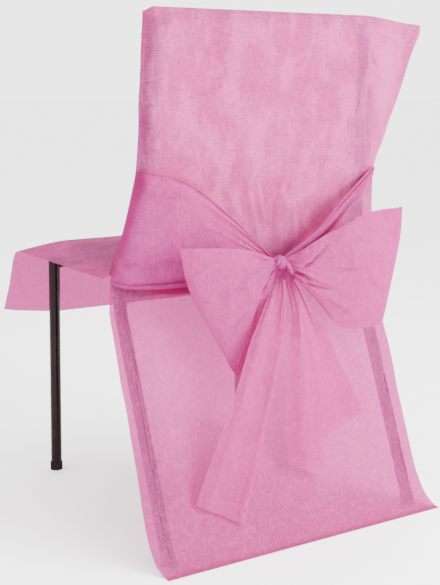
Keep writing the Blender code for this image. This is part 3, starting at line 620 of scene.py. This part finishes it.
BACK_SPOTS_OF_TONE_AND_LIGHT = (                # painted light on the loose corner and under the right loop, painted shade at the top left, and other soft clouds
    # x,      z,     wide,  tall,  deeper (paler below 0)
    (0.275, 0.800, 0.040, 0.120, -1.00),
    (-0.164, 0.720, 0.034, 0.040, -0.45),
    (-0.023, 0.690, 0.034, 0.060, -0.45),
    (-0.058, 0.820, 0.022, 0.050, -0.30),
    (0.143, 0.840, 0.020, 0.045, -0.25),
    (-0.190, 0.850, 0.060, 0.050, 0.12),
    (0.075, 0.810, 0.050, 0.070, 0.08),
    (0.160, 0.330, 0.070, 0.090, -0.45),
    (-0.200, 0.390, 0.040, 0.050, -0.30),
)


def cover_back(material):
    """Back panel: over the backrest's rear, then free to the hem on the floor."""
    upper = bag_rows(-1, WAIST_Z, BACKREST_ROWS + WAIST_ROWS)
    upper[..., 1] -= knot_pull(upper[..., 0], upper[..., 2])
    grid = np.concatenate((upper, panel_rows(upper[-1])))
    x, z = grid[..., 0], grid[..., 2]
    height = creases(x, z, BACK_CREASES)
    height = height + rumple(grid, 1, 0.0020, 0.0007)
    height = height + WELT_HEIGHT * bell((TOP_Z - WELT_DROP - top_droop(x, z) - z) / 0.004)
    on_floor = smooth((z - 0.004) / 0.05)
    at_seam = smooth((TOP_Z - z) / 0.012)
    near_tube = bell((np.abs(x) - tube_at(z)[..., 0]) / 0.020)
    height = eased(height, near_tube)
    height = np.maximum(height, LAYER_GAP - np.abs(grid[..., 1] - tube_at(z)[..., 1]))
    grid = grid + normals_of(grid) * (height * on_floor * at_seam)[..., None]
    # painted shade: the left side, where the cloth turns from the light, and the creases are painted deeper;
    # the spots add painted light and shade
    side = SIDE_PAINTED_SHADE * smooth((-x - SIDE_FROM) / SIDE_WIDTH) * smooth((z - 0.42) / 0.04)
    fold = np.maximum(hollows(height, 5, TROUGH), side) + spots_of_tone_and_painted_light(x, z, BACK_SPOTS_OF_TONE_AND_LIGHT)
    piece = stand_for(add_cloth("back_panel", (grid,), (fold,), material), "cover_back")
    return piece


# ---- front panel: backrest's front, seat, and the drop over the seat's front ----
SEAT_FLAT = 0.175
SEAT_DROOP_POWER = 1.6
TURN_REACH = 0.070
FRONT_ROWS = 90
SEAT_STEPS = 150
TURN_ROWS = (
    # z_side, z_mid, forward_mid
    (0.525, 0.525, 0.000),
    (0.500, 0.503, 0.002),
    (0.478, 0.487, 0.008),
    (0.460, 0.476, 0.022),
)
SEAT_ROWS = (
    # y_mid,  z_mid,  y_side, z_side, half
    (0.0650, 0.4710, 0.0300, 0.4510, 0.2780),
    (0.1000, 0.4695, 0.0800, 0.4500, 0.2750),
    (0.1600, 0.4700, 0.1500, 0.4500, 0.2740),
    (0.2300, 0.4705, 0.2300, 0.4500, 0.2740),
    (0.3100, 0.4705, 0.3100, 0.4510, 0.2750),
    (0.3700, 0.4700, 0.3650, 0.4525, 0.2790),
    (0.3990, 0.4680, 0.3960, 0.4540, 0.2840),
    (0.4080, 0.4560, 0.4070, 0.4480, 0.2870),
    (0.4110, 0.4300, 0.4130, 0.4250, 0.2910),
    (0.4140, 0.3900, 0.4190, 0.3870, 0.2960),
    (0.4160, 0.3550, 0.4250, 0.3580, 0.3010),
    (0.4170, 0.3200, 0.4300, 0.3340, 0.3050),
)
SEAT_CREASES = (
    # x0,    y0,    x1,     y1,    bow,    width,  height (up)
    (-0.265, 0.380, -0.150, 0.300, 0.006, 0.0120, 0.0030),
    (-0.272, 0.220, -0.180, 0.180, 0.004, 0.0120, 0.0024),
    (-0.250, 0.100, -0.120, 0.090, 0.010, 0.0120, 0.0030),
    (-0.120, 0.060, -0.040, 0.190, 0.010, 0.0140, 0.0030),
    (0.030, 0.060, 0.090, 0.240, -0.012, 0.0160, 0.0030),
    (0.240, 0.080, 0.130, 0.150, 0.008, 0.0130, 0.0030),
    (0.260, 0.330, 0.130, 0.280, 0.006, 0.0130, 0.0026),
    (-0.060, 0.380, 0.060, 0.300, 0.008, 0.0160, 0.0020),
)
DROP_CREASES = (
    # x0,    z0,    x1,     z1,    bow,    width,  height (out)
    (-0.285, 0.450, -0.240, 0.330, 0.006, 0.0120, 0.0040),
    (-0.200, 0.450, -0.180, 0.325, 0.004, 0.0140, 0.0036),
    (-0.060, 0.455, -0.080, 0.320, 0.006, 0.0160, 0.0040),
    (0.070, 0.455, 0.095, 0.320, -0.006, 0.0160, 0.0036),
    (0.190, 0.450, 0.175, 0.325, 0.004, 0.0140, 0.0036),
    (0.285, 0.450, 0.250, 0.330, -0.006, 0.0120, 0.0040),
)
FRONT_CREASES = (
    # x0,    z0,    x1,     z1,    bow,    width,  height (out)
    (-0.220, 0.640, -0.080, 0.560, 0.008, 0.0120, 0.0036),
    (-0.215, 0.700, -0.060, 0.690, 0.010, 0.0160, 0.0024),
    (-0.240, 0.560, -0.130, 0.520, 0.008, 0.0120, 0.0040),
    (0.225, 0.630, 0.090, 0.560, -0.008, 0.0120, 0.0036),
    (0.218, 0.720, 0.080, 0.730, 0.010, 0.0180, 0.0022),
    (0.250, 0.560, 0.140, 0.520, -0.008, 0.0120, 0.0040),
    (-0.150, 0.860, 0.020, 0.760, 0.010, 0.0200, 0.0018),
    (0.205, 0.868, 0.280, 0.790, 0.006, 0.0070, 0.0040),
    (0.212, 0.850, 0.250, 0.742, 0.006, 0.0080, 0.0034),
    (0.214, 0.872, 0.325, 0.850, -0.006, 0.0080, 0.0030),
)


def turn_rows():
    """Where the front panel leaves the backrest for the seat."""
    keyed = [(k, *row) for k, row in enumerate(TURN_ROWS)]
    rows = []
    for at in np.linspace(0.0, len(TURN_ROWS) - 1.0, 22)[1:]:
        z_side, z_mid, forward = table_at(keyed, at)
        section = bag_section(z_side, WRAP_RADIUS)
        x = section[:, 0]
        inner = 1.0 - smooth((np.abs(x) - SEAT_FLAT) / TURN_REACH)
        tube_y = float(tube_at(z_side)[1])
        rows.append(np.stack((x, tube_y + section[:, 1] + forward * inner,
                              z_side + (z_mid - z_side) * inner), -1))
    return np.array(rows)


def seat_rows(first):
    """Over the seat and down its front edge, drooping from the pad to the two side edges."""
    share = (first[:, 0] - first[0, 0]) / (first[-1, 0] - first[0, 0])
    keyed = [(k, *row) for k, row in enumerate(SEAT_ROWS)]
    rows = []
    for at in np.linspace(0.0, len(SEAT_ROWS) - 1.0, SEAT_STEPS):
        y_mid, z_mid, y_side, z_side, half = table_at(keyed, at)
        x = -half + 2.0 * half * share
        out = np.maximum(0.0, (np.abs(x) - SEAT_FLAT) / (half - SEAT_FLAT)) ** SEAT_DROOP_POWER
        rows.append(np.stack((x, y_mid + (y_side - y_mid) * out, z_mid + (z_side - z_mid) * out), -1))
    return np.array(rows)


SEAT_PAINTED_SHADE = 0.40             # painted shade: the seat cloth is painted deeper in colour at its rear left
SEAT_SHADE_FROM = 0.190


def cover_front(material):
    """Front panel: down the backrest's front, over the seat and down its front edge."""
    backrest = bag_rows(1, 0.525, FRONT_ROWS)
    turn = turn_rows()
    gap = np.linspace(0.0, 1.0, 12)[1:-1]
    seat = seat_rows(turn[-1])
    join = turn[-1] + (seat[0] - turn[-1]) * gap[:, None, None]
    grid = np.concatenate((backrest, turn, join, seat))
    x, y, z = grid[..., 0], grid[..., 1], grid[..., 2]
    on_seat = smooth((y - 0.03) / 0.03) * (y < 0.402)
    on_drop = smooth((0.462 - z) / 0.012) * (y > 0.395)
    on_back = smooth((z - 0.50) / 0.03)
    height = creases(x, z, FRONT_CREASES) * on_back
    height += creases(x, y, SEAT_CREASES) * on_seat * smooth((0.402 - y) / 0.02)
    height += creases(x, z, DROP_CREASES) * on_drop
    height += rumple(grid, 5, 0.0016, 0.0006)
    near_pad = (1.0 - smooth((np.abs(x) - 0.21) / 0.03)) * on_seat
    height = eased(height, near_pad)
    near_tube = bell((np.abs(x) - tube_at(z)[..., 0]) / 0.020) * on_back
    height = eased(height, near_tube)
    height = height * smooth((TOP_Z - z) / 0.012)
    loose = np.maximum(height, LAYER_GAP - np.abs(y - tube_at(z)[..., 1]))
    height = np.where(z > 0.50, loose, height)
    grid = grid - normals_of(grid) * height[..., None]
    # painted shade: the seat cloth's rear left corner and the creases are painted deeper
    shade = SEAT_PAINTED_SHADE * smooth((SEAT_SHADE_FROM - y) / 0.10) * smooth((-x - 0.10) / 0.06) * on_seat
    fold = np.maximum(hollows(height, 5, TROUGH), shade)
    piece = stand_for(add_cloth("front_panel", (grid,), (fold,), material), "cover_front")
    return piece


# ---- the sash ----
BAND_LEFT_TOP = (
    # x,      y,      z
    (-0.2445, -0.0290, 0.6360),
    (-0.2300, -0.0450, 0.6330),
    (-0.1850, -0.0540, 0.6230),
    (-0.1450, -0.0580, 0.6030),
    (-0.0800, -0.0720, 0.5490),
    (-0.0130, -0.0930, 0.4795),
)
BAND_LEFT_BOTTOM = (
    # x,      y,      z
    (-0.2810, -0.0060, 0.4500),
    (-0.2640, -0.0220, 0.4470),
    (-0.2150, -0.0330, 0.4440),
    (-0.1450, -0.0500, 0.4460),
    (-0.0800, -0.0720, 0.4500),
    (-0.0130, -0.0930, 0.4665),
)
BAND_LEFT_FOLDS = (
    # across, width, height (out)
    (0.10, 0.10, 0.005),
    (0.82, 0.09, -0.004),
    (0.95, 0.09, 0.004),
)
BAND_PLEATS = (
    # across, width, height (out), reach from the knot
    (0.06, 0.05, 0.0040, 0.85),
    (0.22, 0.06, 0.0036, 0.45),
    (0.38, 0.06, 0.0030, 0.55),
    (0.54, 0.06, 0.0034, 0.40),
    (0.70, 0.06, 0.0030, 0.60),
    (0.88, 0.05, 0.0036, 0.75),
)
BAND_LEFT_BELLY = 0.008
BAND_ROLL_TOP = 0.0030        # radius of the rolled upper edge
BAND_ROLL_BOTTOM = 0.0056
BAND_ROLL_STEPS = 16
BAND_PAINTED_SHADE = 0.60             # painted shade: the band is painted deeper in colour where it comes round from the seam, turned from the light
UNDER_FOLD = (0.004, 0.014)   # the inner layer hangs this far below the lower edge: at the seam, further on
SASH_STEPS = 110
PLEAT_TROUGH = 0.0018         # depth at which a pleat in the sash gets its full painted shade


def edge_surface(edges, along, across):
    """Points between a set of edge curves given at places across the sash."""
    lines = np.stack([spline_at(curve, along) for _, curve in edges], 1)
    places = [v for v, _ in edges]
    if len(places) == 2:
        t = np.asarray(across)[None, :, None]
        return lines[:, :1] + (lines[:, 1:2] - lines[:, :1]) * t
    return np.stack([table_at([(v, *p) for v, p in zip(places, row)], across) for row in lines])


def folds_at(folds, v):
    """Height of a set of lengthwise folds at places across the cloth."""
    return sum(height * bell((v - place) / width) for place, width, height in folds)


def pleats_at(pleats, from_knot, v, wander=0.0):
    """Height of pleats that open out from the knot, each with its own reach."""
    total = np.zeros(np.broadcast(from_knot, v).shape)
    for k, (place, width, height, reach) in enumerate(pleats):
        bend = wander * np.sin(from_knot * 5.0 + 1.7 * k)
        fade = (1.0 - smooth(from_knot / reach)) ** 1.3
        total = total + height * crest((v - place - bend) / (width * (0.7 + 0.6 * from_knot))) * fade
    return total


def rolled_edge(rim, inside, radius, turns, steps):
    """Rows of cloth curled outwards past a free edge: rim is the edge, inside a line beside it."""
    up = unit(rim - inside)
    run = unit(np.gradient(rim, axis=0))
    out = np.cross(up, run)
    out = np.where(out[:, 1:2] > 0.0, -out, out)
    angles = np.linspace(0.0, turns * 2.0 * math.pi, steps + 1)[1:]
    radius = radius[:, None, None] * (1.0 - 0.35 * np.linspace(0.0, 1.0, steps))[None, :, None]
    sweep = up[:, None] * np.sin(angles)[None, :, None] + out[:, None] * (1.0 - np.cos(angles))[None, :, None]
    return rim[:, None] + sweep * radius


def sash_band_left(material):
    """The sash spread wide from the left seam, gathered to the knot, its two edges rolled."""
    t = np.linspace(0.0, 1.0, SASH_STEPS)
    v = np.linspace(0.0, 1.0, 90)
    grid = edge_surface(((0.0, BAND_LEFT_TOP), (1.0, BAND_LEFT_BOTTOM)), t, v)
    at, across = t[:, None], v[None, :]
    offset = BAND_LEFT_BELLY * np.sin(math.pi * across) * np.sin(math.pi * at)
    offset = offset + folds_at(BAND_LEFT_FOLDS, across) * smooth(at / 0.2) * (1.0 - at)
    offset = offset + pleats_at(BAND_PLEATS, 1.0 - at, across, 0.03)
    offset = offset + rumple(grid, 9, 0.0022, 0.0008) * smooth(at / 0.1)
    grid[..., 1] -= offset
    taper = 0.35 + 0.65 * np.sin(math.pi * np.clip(t * 0.9 + 0.05, 0.0, 1.0))
    top_radius = BAND_ROLL_TOP * taper * (0.25 + 0.75 * smooth((t - 0.3) / 0.4))
    upper = rolled_edge(grid[:, 0], grid[:, 4], top_radius, 0.72, BAND_ROLL_STEPS)
    lower = rolled_edge(grid[:, -1], grid[:, -5], BAND_ROLL_BOTTOM * taper, 0.70, BAND_ROLL_STEPS)
    hang = UNDER_FOLD[0] + UNDER_FOLD[1] * smooth((t - 0.2) / 0.35) * smooth((1.0 - t) / 0.3)
    drop = np.linspace(-0.006, 1.0, 10)[None, :] * hang[:, None]
    under = grid[:, -1:] - np.stack((np.zeros_like(drop), 0.0006 + 0.10 * np.maximum(drop, 0.0), drop), -1)
    # painted shade: the band's left end, where it comes round from the seam, and its pleats are painted
    # deeper
    side = BAND_PAINTED_SHADE * smooth((0.30 - 0.18 * across - at) / 0.16)
    fold = np.maximum(hollows(offset, 4, 0.0020), side)
    fold = np.pad(fold, ((0, 0), (upper.shape[1], lower.shape[1])), "edge")
    grid = np.concatenate((upper[:, ::-1], grid, lower), axis=1)
    # the under-fold is painted in full shade, standing for the shadow under the band's lower edge
    piece = stand_for(add_cloth("sash_band_wide", (grid, under), (fold, 1.0), material), "sash_band_left")
    return piece


BAND_RIGHT_PATH = (
    # x,      y,       z,      width,  thickness
    (0.2560, -0.0350, 0.6240, 0.008, 0.004),
    (0.2330, -0.0480, 0.6090, 0.018, 0.007),
    (0.1710, -0.0600, 0.5640, 0.026, 0.010),
    (0.1000, -0.0750, 0.5150, 0.026, 0.011),
    (0.0060, -0.0920, 0.4745, 0.014, 0.008),
)
ROLL_TURNS = 1.7
ROLL_TIGHTENS = 0.42          # how much smaller the roll's inner end is than its outer one
ROLL_STEPS = 110
ROLL_RIDGES = (
    # ridges round the roll, height as a share of its radius, twist along it in turns
    (3, 0.13, 0.55),
    (5, 0.06, -0.40),
)


def sash_band_right(material):
    """The sash rolled up on itself from the right seam to the knot: a spiral with a free edge."""
    t = np.linspace(0.0, 1.0, SASH_STEPS)
    path = spline_at([row[:3] for row in BAND_RIGHT_PATH], t)
    sizes = spline_at([row[3:] for row in BAND_RIGHT_PATH], t)
    run = unit(np.gradient(path, axis=0))
    out = unit(np.array((0.0, -1.0, 0.0)) - run * (-run[:, 1:2]))
    up = np.cross(run, out)
    round_it = np.linspace(0.0, 1.0, ROLL_STEPS)[None, :]
    angle = ROLL_TURNS * 2.0 * math.pi * round_it + 1.2 + 1.1 * t[:, None]
    spiral = 1.0 - ROLL_TIGHTENS * round_it
    for count, height, twist in ROLL_RIDGES:
        spiral = spiral + height * np.cos(count * angle + 2.0 * math.pi * twist * t[:, None])
    wide = sizes[:, :1] / 2.0 * spiral * np.cos(angle)
    thick = sizes[:, 1:] / 2.0 * spiral * np.sin(angle)
    grid = path[:, None] + up[:, None] * wide[..., None] + out[:, None] * thick[..., None]
    # painted shade in the hollows between the roll's ridges
    fold = hollows(spiral, 6, 0.09)
    piece = stand_for(add_cloth("sash_band_rolled", (grid,), (fold,), material), "sash_band_right")
    return piece


LOOP_LEFT_EDGES = (
    # across, (x, y, z) from the knot outwards
    (0.00, ((-0.011, -0.100, 0.480), (-0.064, -0.106, 0.497),
            (-0.1144, -0.108, 0.5065), (-0.208, -0.104, 0.515))),
    (0.33, ((-0.011, -0.100, 0.476), (-0.074, -0.110, 0.460),
            (-0.126, -0.111, 0.450), (-0.188, -0.104, 0.442))),
    (0.75, ((-0.011, -0.100, 0.471), (-0.057, -0.112, 0.422),
            (-0.093, -0.113, 0.379), (-0.127, -0.106, 0.336))),
    (0.92, ((-0.0105, -0.100, 0.468), (-0.045, -0.112, 0.409),
            (-0.071, -0.114, 0.352), (-0.098, -0.108, 0.290))),
    (1.00, ((-0.010, -0.100, 0.466), (-0.039, -0.112, 0.413),
            (-0.053, -0.114, 0.363), (-0.072, -0.109, 0.299))),
)
LOOP_RIGHT_EDGES = (
    # across, (x, y, z) from the knot outwards
    (0.00, ((0.003, -0.100, 0.479), (0.0951, -0.106, 0.5165),
            (0.184, -0.108, 0.548), (0.269, -0.104, 0.556))),
    (0.25, ((0.006, -0.100, 0.474), (0.098, -0.110, 0.486),
            (0.186, -0.111, 0.497), (0.266, -0.104, 0.500))),
    (0.70, ((0.008, -0.100, 0.468), (0.086, -0.112, 0.427),
            (0.160, -0.113, 0.401), (0.243, -0.104, 0.398))),
    (1.00, ((0.010, -0.100, 0.460), (0.066, -0.112, 0.404),
            (0.125, -0.114, 0.350), (0.226, -0.106, 0.339))),
)
LOOP_PLEATS_LEFT = (
    # across, width, height (out), reach from the knot
    (0.06, 0.050, 0.0036, 0.60),
    (0.24, 0.060, 0.0040, 0.40),
    (0.44, 0.050, 0.0036, 0.50),
    (0.66, 0.050, 0.0044, 0.42),
    (0.80, 0.045, 0.0050, 0.60),
    (0.93, 0.040, 0.0054, 0.75),
)
LOOP_PLEATS_RIGHT = (
    # across, width, height (out), reach from the knot
    (0.06, 0.050, 0.0046, 0.70),
    (0.20, 0.045, 0.0044, 0.45),
    (0.36, 0.060, 0.0040, 0.55),
    (0.53, 0.045, 0.0044, 0.36),
    (0.66, 0.050, 0.0050, 0.60),
    (0.80, 0.040, 0.0040, 0.42),
    (0.93, 0.050, 0.0046, 0.50),
)
LOOP_CREASES_LEFT = (
    # x0,     z0,      x1,      z1,     bow,    width,  height (out)
    (-0.0180, 0.4700, -0.0600, 0.4180, 0.003, 0.0034, -0.0068),
    (-0.0260, 0.4560, -0.0470, 0.3950, 0.002, 0.0036, 0.0046),
    (-0.0230, 0.4790, -0.0980, 0.5000, -0.002, 0.0040, -0.0043),
    (-0.0480, 0.4300, -0.0760, 0.3500, 0.005, 0.0046, -0.0062),
    (-0.0330, 0.4660, -0.1050, 0.4500, 0.004, 0.0046, 0.0034),
    (-0.0860, 0.4460, -0.1560, 0.4260, -0.005, 0.0070, -0.0040),
    (-0.1200, 0.4900, -0.1900, 0.4660, 0.004, 0.0080, 0.0026),
    (-0.0700, 0.4080, -0.1180, 0.3600, 0.004, 0.0060, 0.0034),
    (-0.0850, 0.3500, -0.1010, 0.2960, 0.002, 0.0050, 0.0034),
)
LOOP_CREASES_RIGHT = (
    # x0,    z0,     x1,     z1,     bow,    width,  height (out)
    (0.0150, 0.4600, 0.0480, 0.4490, 0.002, 0.0030, -0.0070),
    (0.0230, 0.4520, 0.0570, 0.4350, -0.002, 0.0030, -0.0062),
    (0.0280, 0.4420, 0.0970, 0.4200, 0.003, 0.0034, -0.0065),
    (0.0270, 0.4580, 0.1010, 0.5110, 0.005, 0.0038, -0.0065),
    (0.0220, 0.4740, 0.0780, 0.5200, -0.003, 0.0044, 0.0052),
    (0.0500, 0.4640, 0.1180, 0.4860, 0.004, 0.0050, 0.0040),
    (0.0930, 0.4600, 0.1670, 0.4530, 0.004, 0.0040, -0.0049),
    (0.0420, 0.4080, 0.0990, 0.3550, -0.005, 0.0044, -0.0068),
    (0.0700, 0.4200, 0.1500, 0.3760, 0.006, 0.0070, 0.0040),
    (0.1250, 0.5200, 0.2120, 0.5040, 0.005, 0.0070, 0.0030),
    (0.1650, 0.4300, 0.2300, 0.3900, -0.005, 0.0080, -0.0040),
)
LOOP_PUFF = 0.010
LOOP_FOLD = 0.0028
LOOP_FULLEST = 0.8
LOOP_NOSE = 0.06              # the two layers close into the outer fold over this last share


def loop_layer(edges, pleats, folds, layer, seed):
    """One layer of a loop from the knot to its outer fold: layer 1 is the outer one, -1 the one under it."""
    t = np.cos(np.linspace(math.pi / 2.0, 0.0, SASH_STEPS)) ** 1.6
    v = np.linspace(0.0, 1.0, 120)
    grid = edge_surface(edges, t, v)
    at, across = t[:, None], v[None, :]
    fullness = np.sin(math.pi * at ** LOOP_FULLEST) * np.sqrt(np.clip(np.sin(math.pi * across), 0.0, 1.0))
    nose = np.sqrt(1.0 - np.clip((at - 1.0 + LOOP_NOSE) / LOOP_NOSE, 0.0, 1.0) ** 2)
    offset = layer * (LOOP_FOLD + LOOP_PUFF * fullness) * nose
    offset = offset + pleats_at(pleats, at, across, 0.02) * (1.0 if layer > 0 else 0.6)
    if layer > 0:
        offset = offset + creases(grid[..., 0], grid[..., 2], folds) * smooth(at / 0.08)
    offset = offset + rumple(grid, seed, 0.0026, 0.0013) * smooth((1.0 - at) / 0.10)
    grid[..., 1] -= offset
    stray = layer * 0.0028 * np.sin(math.pi * at) * (1.0 - 2.0 * across)
    grid[..., 2] += stray * smooth((np.abs(across - 0.5) - 0.3) / 0.2)
    # painted shade in the pleats near the knot, fading out towards the outer fold
    return grid, hollows(offset, 4, PLEAT_TROUGH) * (1.0 - 0.9 * smooth((at - 0.10) / 0.22))


def bow_loop(name, node, edges, pleats, folds, seed, material):
    """A loop of the sash: out from the knot, round its fold and back."""
    front, front_painted_shade = loop_layer(edges, pleats, folds, 1, seed)
    back, back_painted_shade = loop_layer(edges, pleats, folds, -1, seed + 3)
    grid = np.concatenate((back, front[::-1][1:]))
    fold = np.concatenate((back_painted_shade, front_painted_shade[::-1][1:]))
    piece = stand_for(add_cloth(name, (grid,), (fold,), material), node)
    return piece


TAIL_LEFT_EDGES = (
    # across, (x, y, z) from the knot to the cut end
    (0.00, ((-0.012, -0.105, 0.467), (-0.054, -0.1305, 0.412), (-0.088, -0.1375, 0.352),
            (-0.126, -0.145, 0.264), (-0.168, -0.147, 0.172), (-0.205, -0.148, 0.090))),
    (1.00, ((-0.003, -0.105, 0.464), (-0.013, -0.132, 0.403), (-0.027, -0.140, 0.335),
            (-0.046, -0.146, 0.266), (-0.072, -0.149, 0.172), (-0.119, -0.165, 0.042))),
)
TAIL_LEFT_FOLDS = (
    # across, width, height (out)
    (0.22, 0.22, 0.0055),
    (0.62, 0.26, -0.0040),
    (0.92, 0.12, 0.0035),
)
TAIL_LEFT_PLEATS = (
    # across, width, height (out), reach from the knot
    (0.08, 0.06, 0.0056, 0.50),
    (0.30, 0.08, 0.0056, 0.30),
    (0.55, 0.06, 0.0050, 0.40),
    (0.80, 0.07, 0.0056, 0.55),
)
TAIL_RIGHT_EDGES = (
    # across, (x, y, z) from the knot to the cut end
    (0.00, ((-0.002, -0.104, 0.463), (-0.006, -0.132, 0.395), (-0.011, -0.135, 0.330),
            (-0.015, -0.137, 0.220), (-0.010, -0.142, 0.120))),
    (0.50, ((0.006, -0.104, 0.460), (0.015, -0.140, 0.390), (0.033, -0.145, 0.320),
            (0.050, -0.145, 0.220), (0.060, -0.149, 0.100))),
    (0.60, ((0.008, -0.103, 0.460), (0.018, -0.135, 0.390), (0.036, -0.139, 0.320),
            (0.053, -0.139, 0.230), (0.068, -0.141, 0.154))),
    (1.00, ((0.013, -0.102, 0.458), (0.040, -0.136, 0.395), (0.076, -0.140, 0.335),
            (0.114, -0.140, 0.268), (0.160, -0.140, 0.188))),
)
TAIL_RIGHT_FOLDS = (
    # across, width, height (out)
    (0.25, 0.20, 0.0040),
    (0.82, 0.18, -0.0036),
)
TAIL_RIGHT_PLEATS = (
    # across, width, height (out), reach from the knot
    (0.10, 0.05, 0.0050, 0.45),
    (0.28, 0.05, 0.0056, 0.62),
    (0.44, 0.05, 0.0050, 0.40),
    (0.68, 0.05, 0.0050, 0.34),
    (0.86, 0.05, 0.0050, 0.50),
)


def bow_tail(name, node, edges, folds, pleats, seed, material):
    """A free end of the sash, pleated at the knot and opening out to its cut end."""
    t = np.linspace(0.0, 1.0, 130)
    v = np.linspace(0.0, 1.0, 100)
    grid = edge_surface(edges, t, v)
    at, across = t[:, None], v[None, :]
    offset = folds_at(folds, across) * smooth(at / 0.3)
    offset = offset + pleats_at(pleats, at, across, 0.03)
    offset = offset + rumple(grid, seed, 0.0022, 0.0009)
    grid[..., 1] -= offset
    # painted shade in the pleats, fading down the tail
    fold = hollows(offset, 4, PLEAT_TROUGH) * (1.0 - 0.5 * smooth((at - 0.25) / 0.30))
    piece = stand_for(add_cloth(name, (grid,), (fold,), material), node)
    return piece


KNOT_LOBES = (
    # x,      y,       z,      half across, half deep, half up, lean, pleats, pleat height, slant, painted shade
    (-0.0068, -0.1010, 0.4748, 0.0126, 0.0130, 0.0118, 0.25, 7, 0.0009, 0.9, 0.0),
    (0.0115, -0.0985, 0.4635, 0.0100, 0.0125, 0.0170, 0.40, 4, 0.0012, -0.6, 0.1),
    (-0.0030, -0.0960, 0.4625, 0.0130, 0.0110, 0.0120, 0.00, 6, 0.0010, 0.4, 1.0),
)


def knot_lobe(lobe):
    """One turn of cloth in the knot: a pleated ball, longer one way and leaning."""
    x, y, z, wide, deep, tall, lean, pleats, pleat, slant, _ = lobe
    rise = np.linspace(0.04, math.pi - 0.04, 40)[:, None]
    turn = np.linspace(0.0, 2.0 * math.pi, 72, endpoint=False)[None, :]
    direction = np.stack((np.sin(rise) * np.cos(turn), np.sin(rise) * np.sin(turn),
                          -np.cos(rise) * np.ones_like(turn)), -1)
    ball = direction * np.array((wide, deep, tall))
    height = pleat * np.cos(pleats * (turn + slant * np.cos(rise))) * np.sin(rise)
    ball = ball + direction * (height + rumple(ball, 21, 0.0006, 0.0003))[..., None]
    leaned = ball.copy()
    leaned[..., 0] = ball[..., 0] * math.cos(lean) - ball[..., 2] * math.sin(lean)
    leaned[..., 2] = ball[..., 0] * math.sin(lean) + ball[..., 2] * math.cos(lean)
    return leaned + np.array((x, y, z))


def sash_knot(material):
    """The tied sash pulled tight: a small round turn, the next tucked beside it, and a third turn behind them
    painted in deep shade.
    """
    lobes = [knot_lobe(lobe) for lobe in KNOT_LOBES]
    # the third lobe carries full painted shade
    folds = [lobe[-1] for lobe in KNOT_LOBES]
    piece = stand_for(add_cloth("sash_knot_tied", lobes, folds, material, closed=True), "sash_knot")
    return piece


# ---- the whole ----
CAMERA_AT = (-1.0898, -1.6202, 0.7719)
CAMERA_YAW = -0.5648
CAMERA_PITCH = -0.1856
CAMERA_LENS = 89.36
CAMERA_SENSOR = 36.0


def add_camera():
    """From behind the chair, to its left."""
    camera = add_object("camera", bpy.data.cameras.new("camera"))
    camera.data.sensor_fit = "HORIZONTAL"
    camera.data.sensor_width = CAMERA_SENSOR
    camera.data.lens = CAMERA_LENS
    camera.location = Vector(CAMERA_AT) + Vector(CHAIR)
    camera.rotation_euler = (math.pi / 2.0 + CAMERA_PITCH, 0.0, CAMERA_YAW)
    bpy.context.scene.camera = camera


LAMPS = (
    # name, place, size, watts, colour
    ("key", (1.20, -2.1, 1.2), 1.7, 270.0, (1.0, 0.985, 0.98)),
    ("top", (0.3, -0.8, 3.0), 1.6, 40.0, (1.0, 1.0, 1.0)),
)
WORLD_STRENGTH = 3.6


def add_lights():
    """Two large soft lamps in a bright white room."""
    for name, place, size, watts, colour in LAMPS:
        data = bpy.data.lights.new(name, "AREA")
        data.size = size
        data.energy = watts
        data.color = colour
        lamp = add_object(name, data)
        lamp.location = place
        lamp.rotation_euler = (Vector((0.0, 0.0, 0.45)) - Vector(place)).to_track_quat("-Z", "Y").to_euler()
    world = bpy.data.worlds.new("studio")
    world.use_nodes = True
    world.node_tree.nodes["Background"].inputs["Color"].default_value = (1.0, 1.0, 1.0, 1.0)
    world.node_tree.nodes["Background"].inputs["Strength"].default_value = WORLD_STRENGTH
    bpy.context.scene.world = world


def add_floor():
    """A plain pale floor, wide enough to reach the horizon."""
    half = 60.0
    mesh = bpy.data.meshes.new("floor")
    mesh.from_pydata([(-half, -half, 0.0), (half, -half, 0.0), (half, half, 0.0), (-half, half, 0.0)],
                     [], [(0, 1, 2, 3)])
    mesh.materials.append(floor_material())
    add_object("floor", mesh)


# tubes rubbed dull by the cloth
COVERED_TUBES = ("frame_rear_left", "frame_rear_right", "frame_cross_rear")


def dress_chair():
    """Better materials on the chair's own parts."""
    looks = {"frame": frame_material("frame_lacquer", 0.22, 0.36), "pad": pad_material(),
             "board": board_material(), "foot": foot_material()}
    rubbed = frame_material("frame_rubbed", 0.70, 0.85)
    slots = {row["node"]: row["material_slot"] for row in frame["record"]["subparts"]}
    for name, part in frame["nodes"].items():
        if slots[name] in looks:
            part.data.materials.clear()
            part.data.materials.append(rubbed if name in COVERED_TUBES else looks[slots[name]])


def build():
    add_camera()
    cover = cloth_material("cloth_cover", COVER_TONES, 0.75)
    sash = cloth_material("cloth_sash", SASH_TONES, 0.0)
    dress_chair()
    cover_back(cover)
    cover_front(cover)
    sash_band_left(sash)
    sash_band_right(sash)
    sash_knot(sash)
    bow_loop("bow_loop_l", "bow_loop_left", LOOP_LEFT_EDGES, LOOP_PLEATS_LEFT, LOOP_CREASES_LEFT,
             31, sash)
    bow_loop("bow_loop_r", "bow_loop_right", LOOP_RIGHT_EDGES, LOOP_PLEATS_RIGHT, LOOP_CREASES_RIGHT,
             41, sash)
    bow_tail("bow_tail_l", "bow_tail_left", TAIL_LEFT_EDGES, TAIL_LEFT_FOLDS, TAIL_LEFT_PLEATS,
             51, sash)
    bow_tail("bow_tail_r", "bow_tail_right", TAIL_RIGHT_EDGES, TAIL_RIGHT_FOLDS, TAIL_RIGHT_PLEATS,
             61, sash)
    add_floor()
    add_lights()


build()
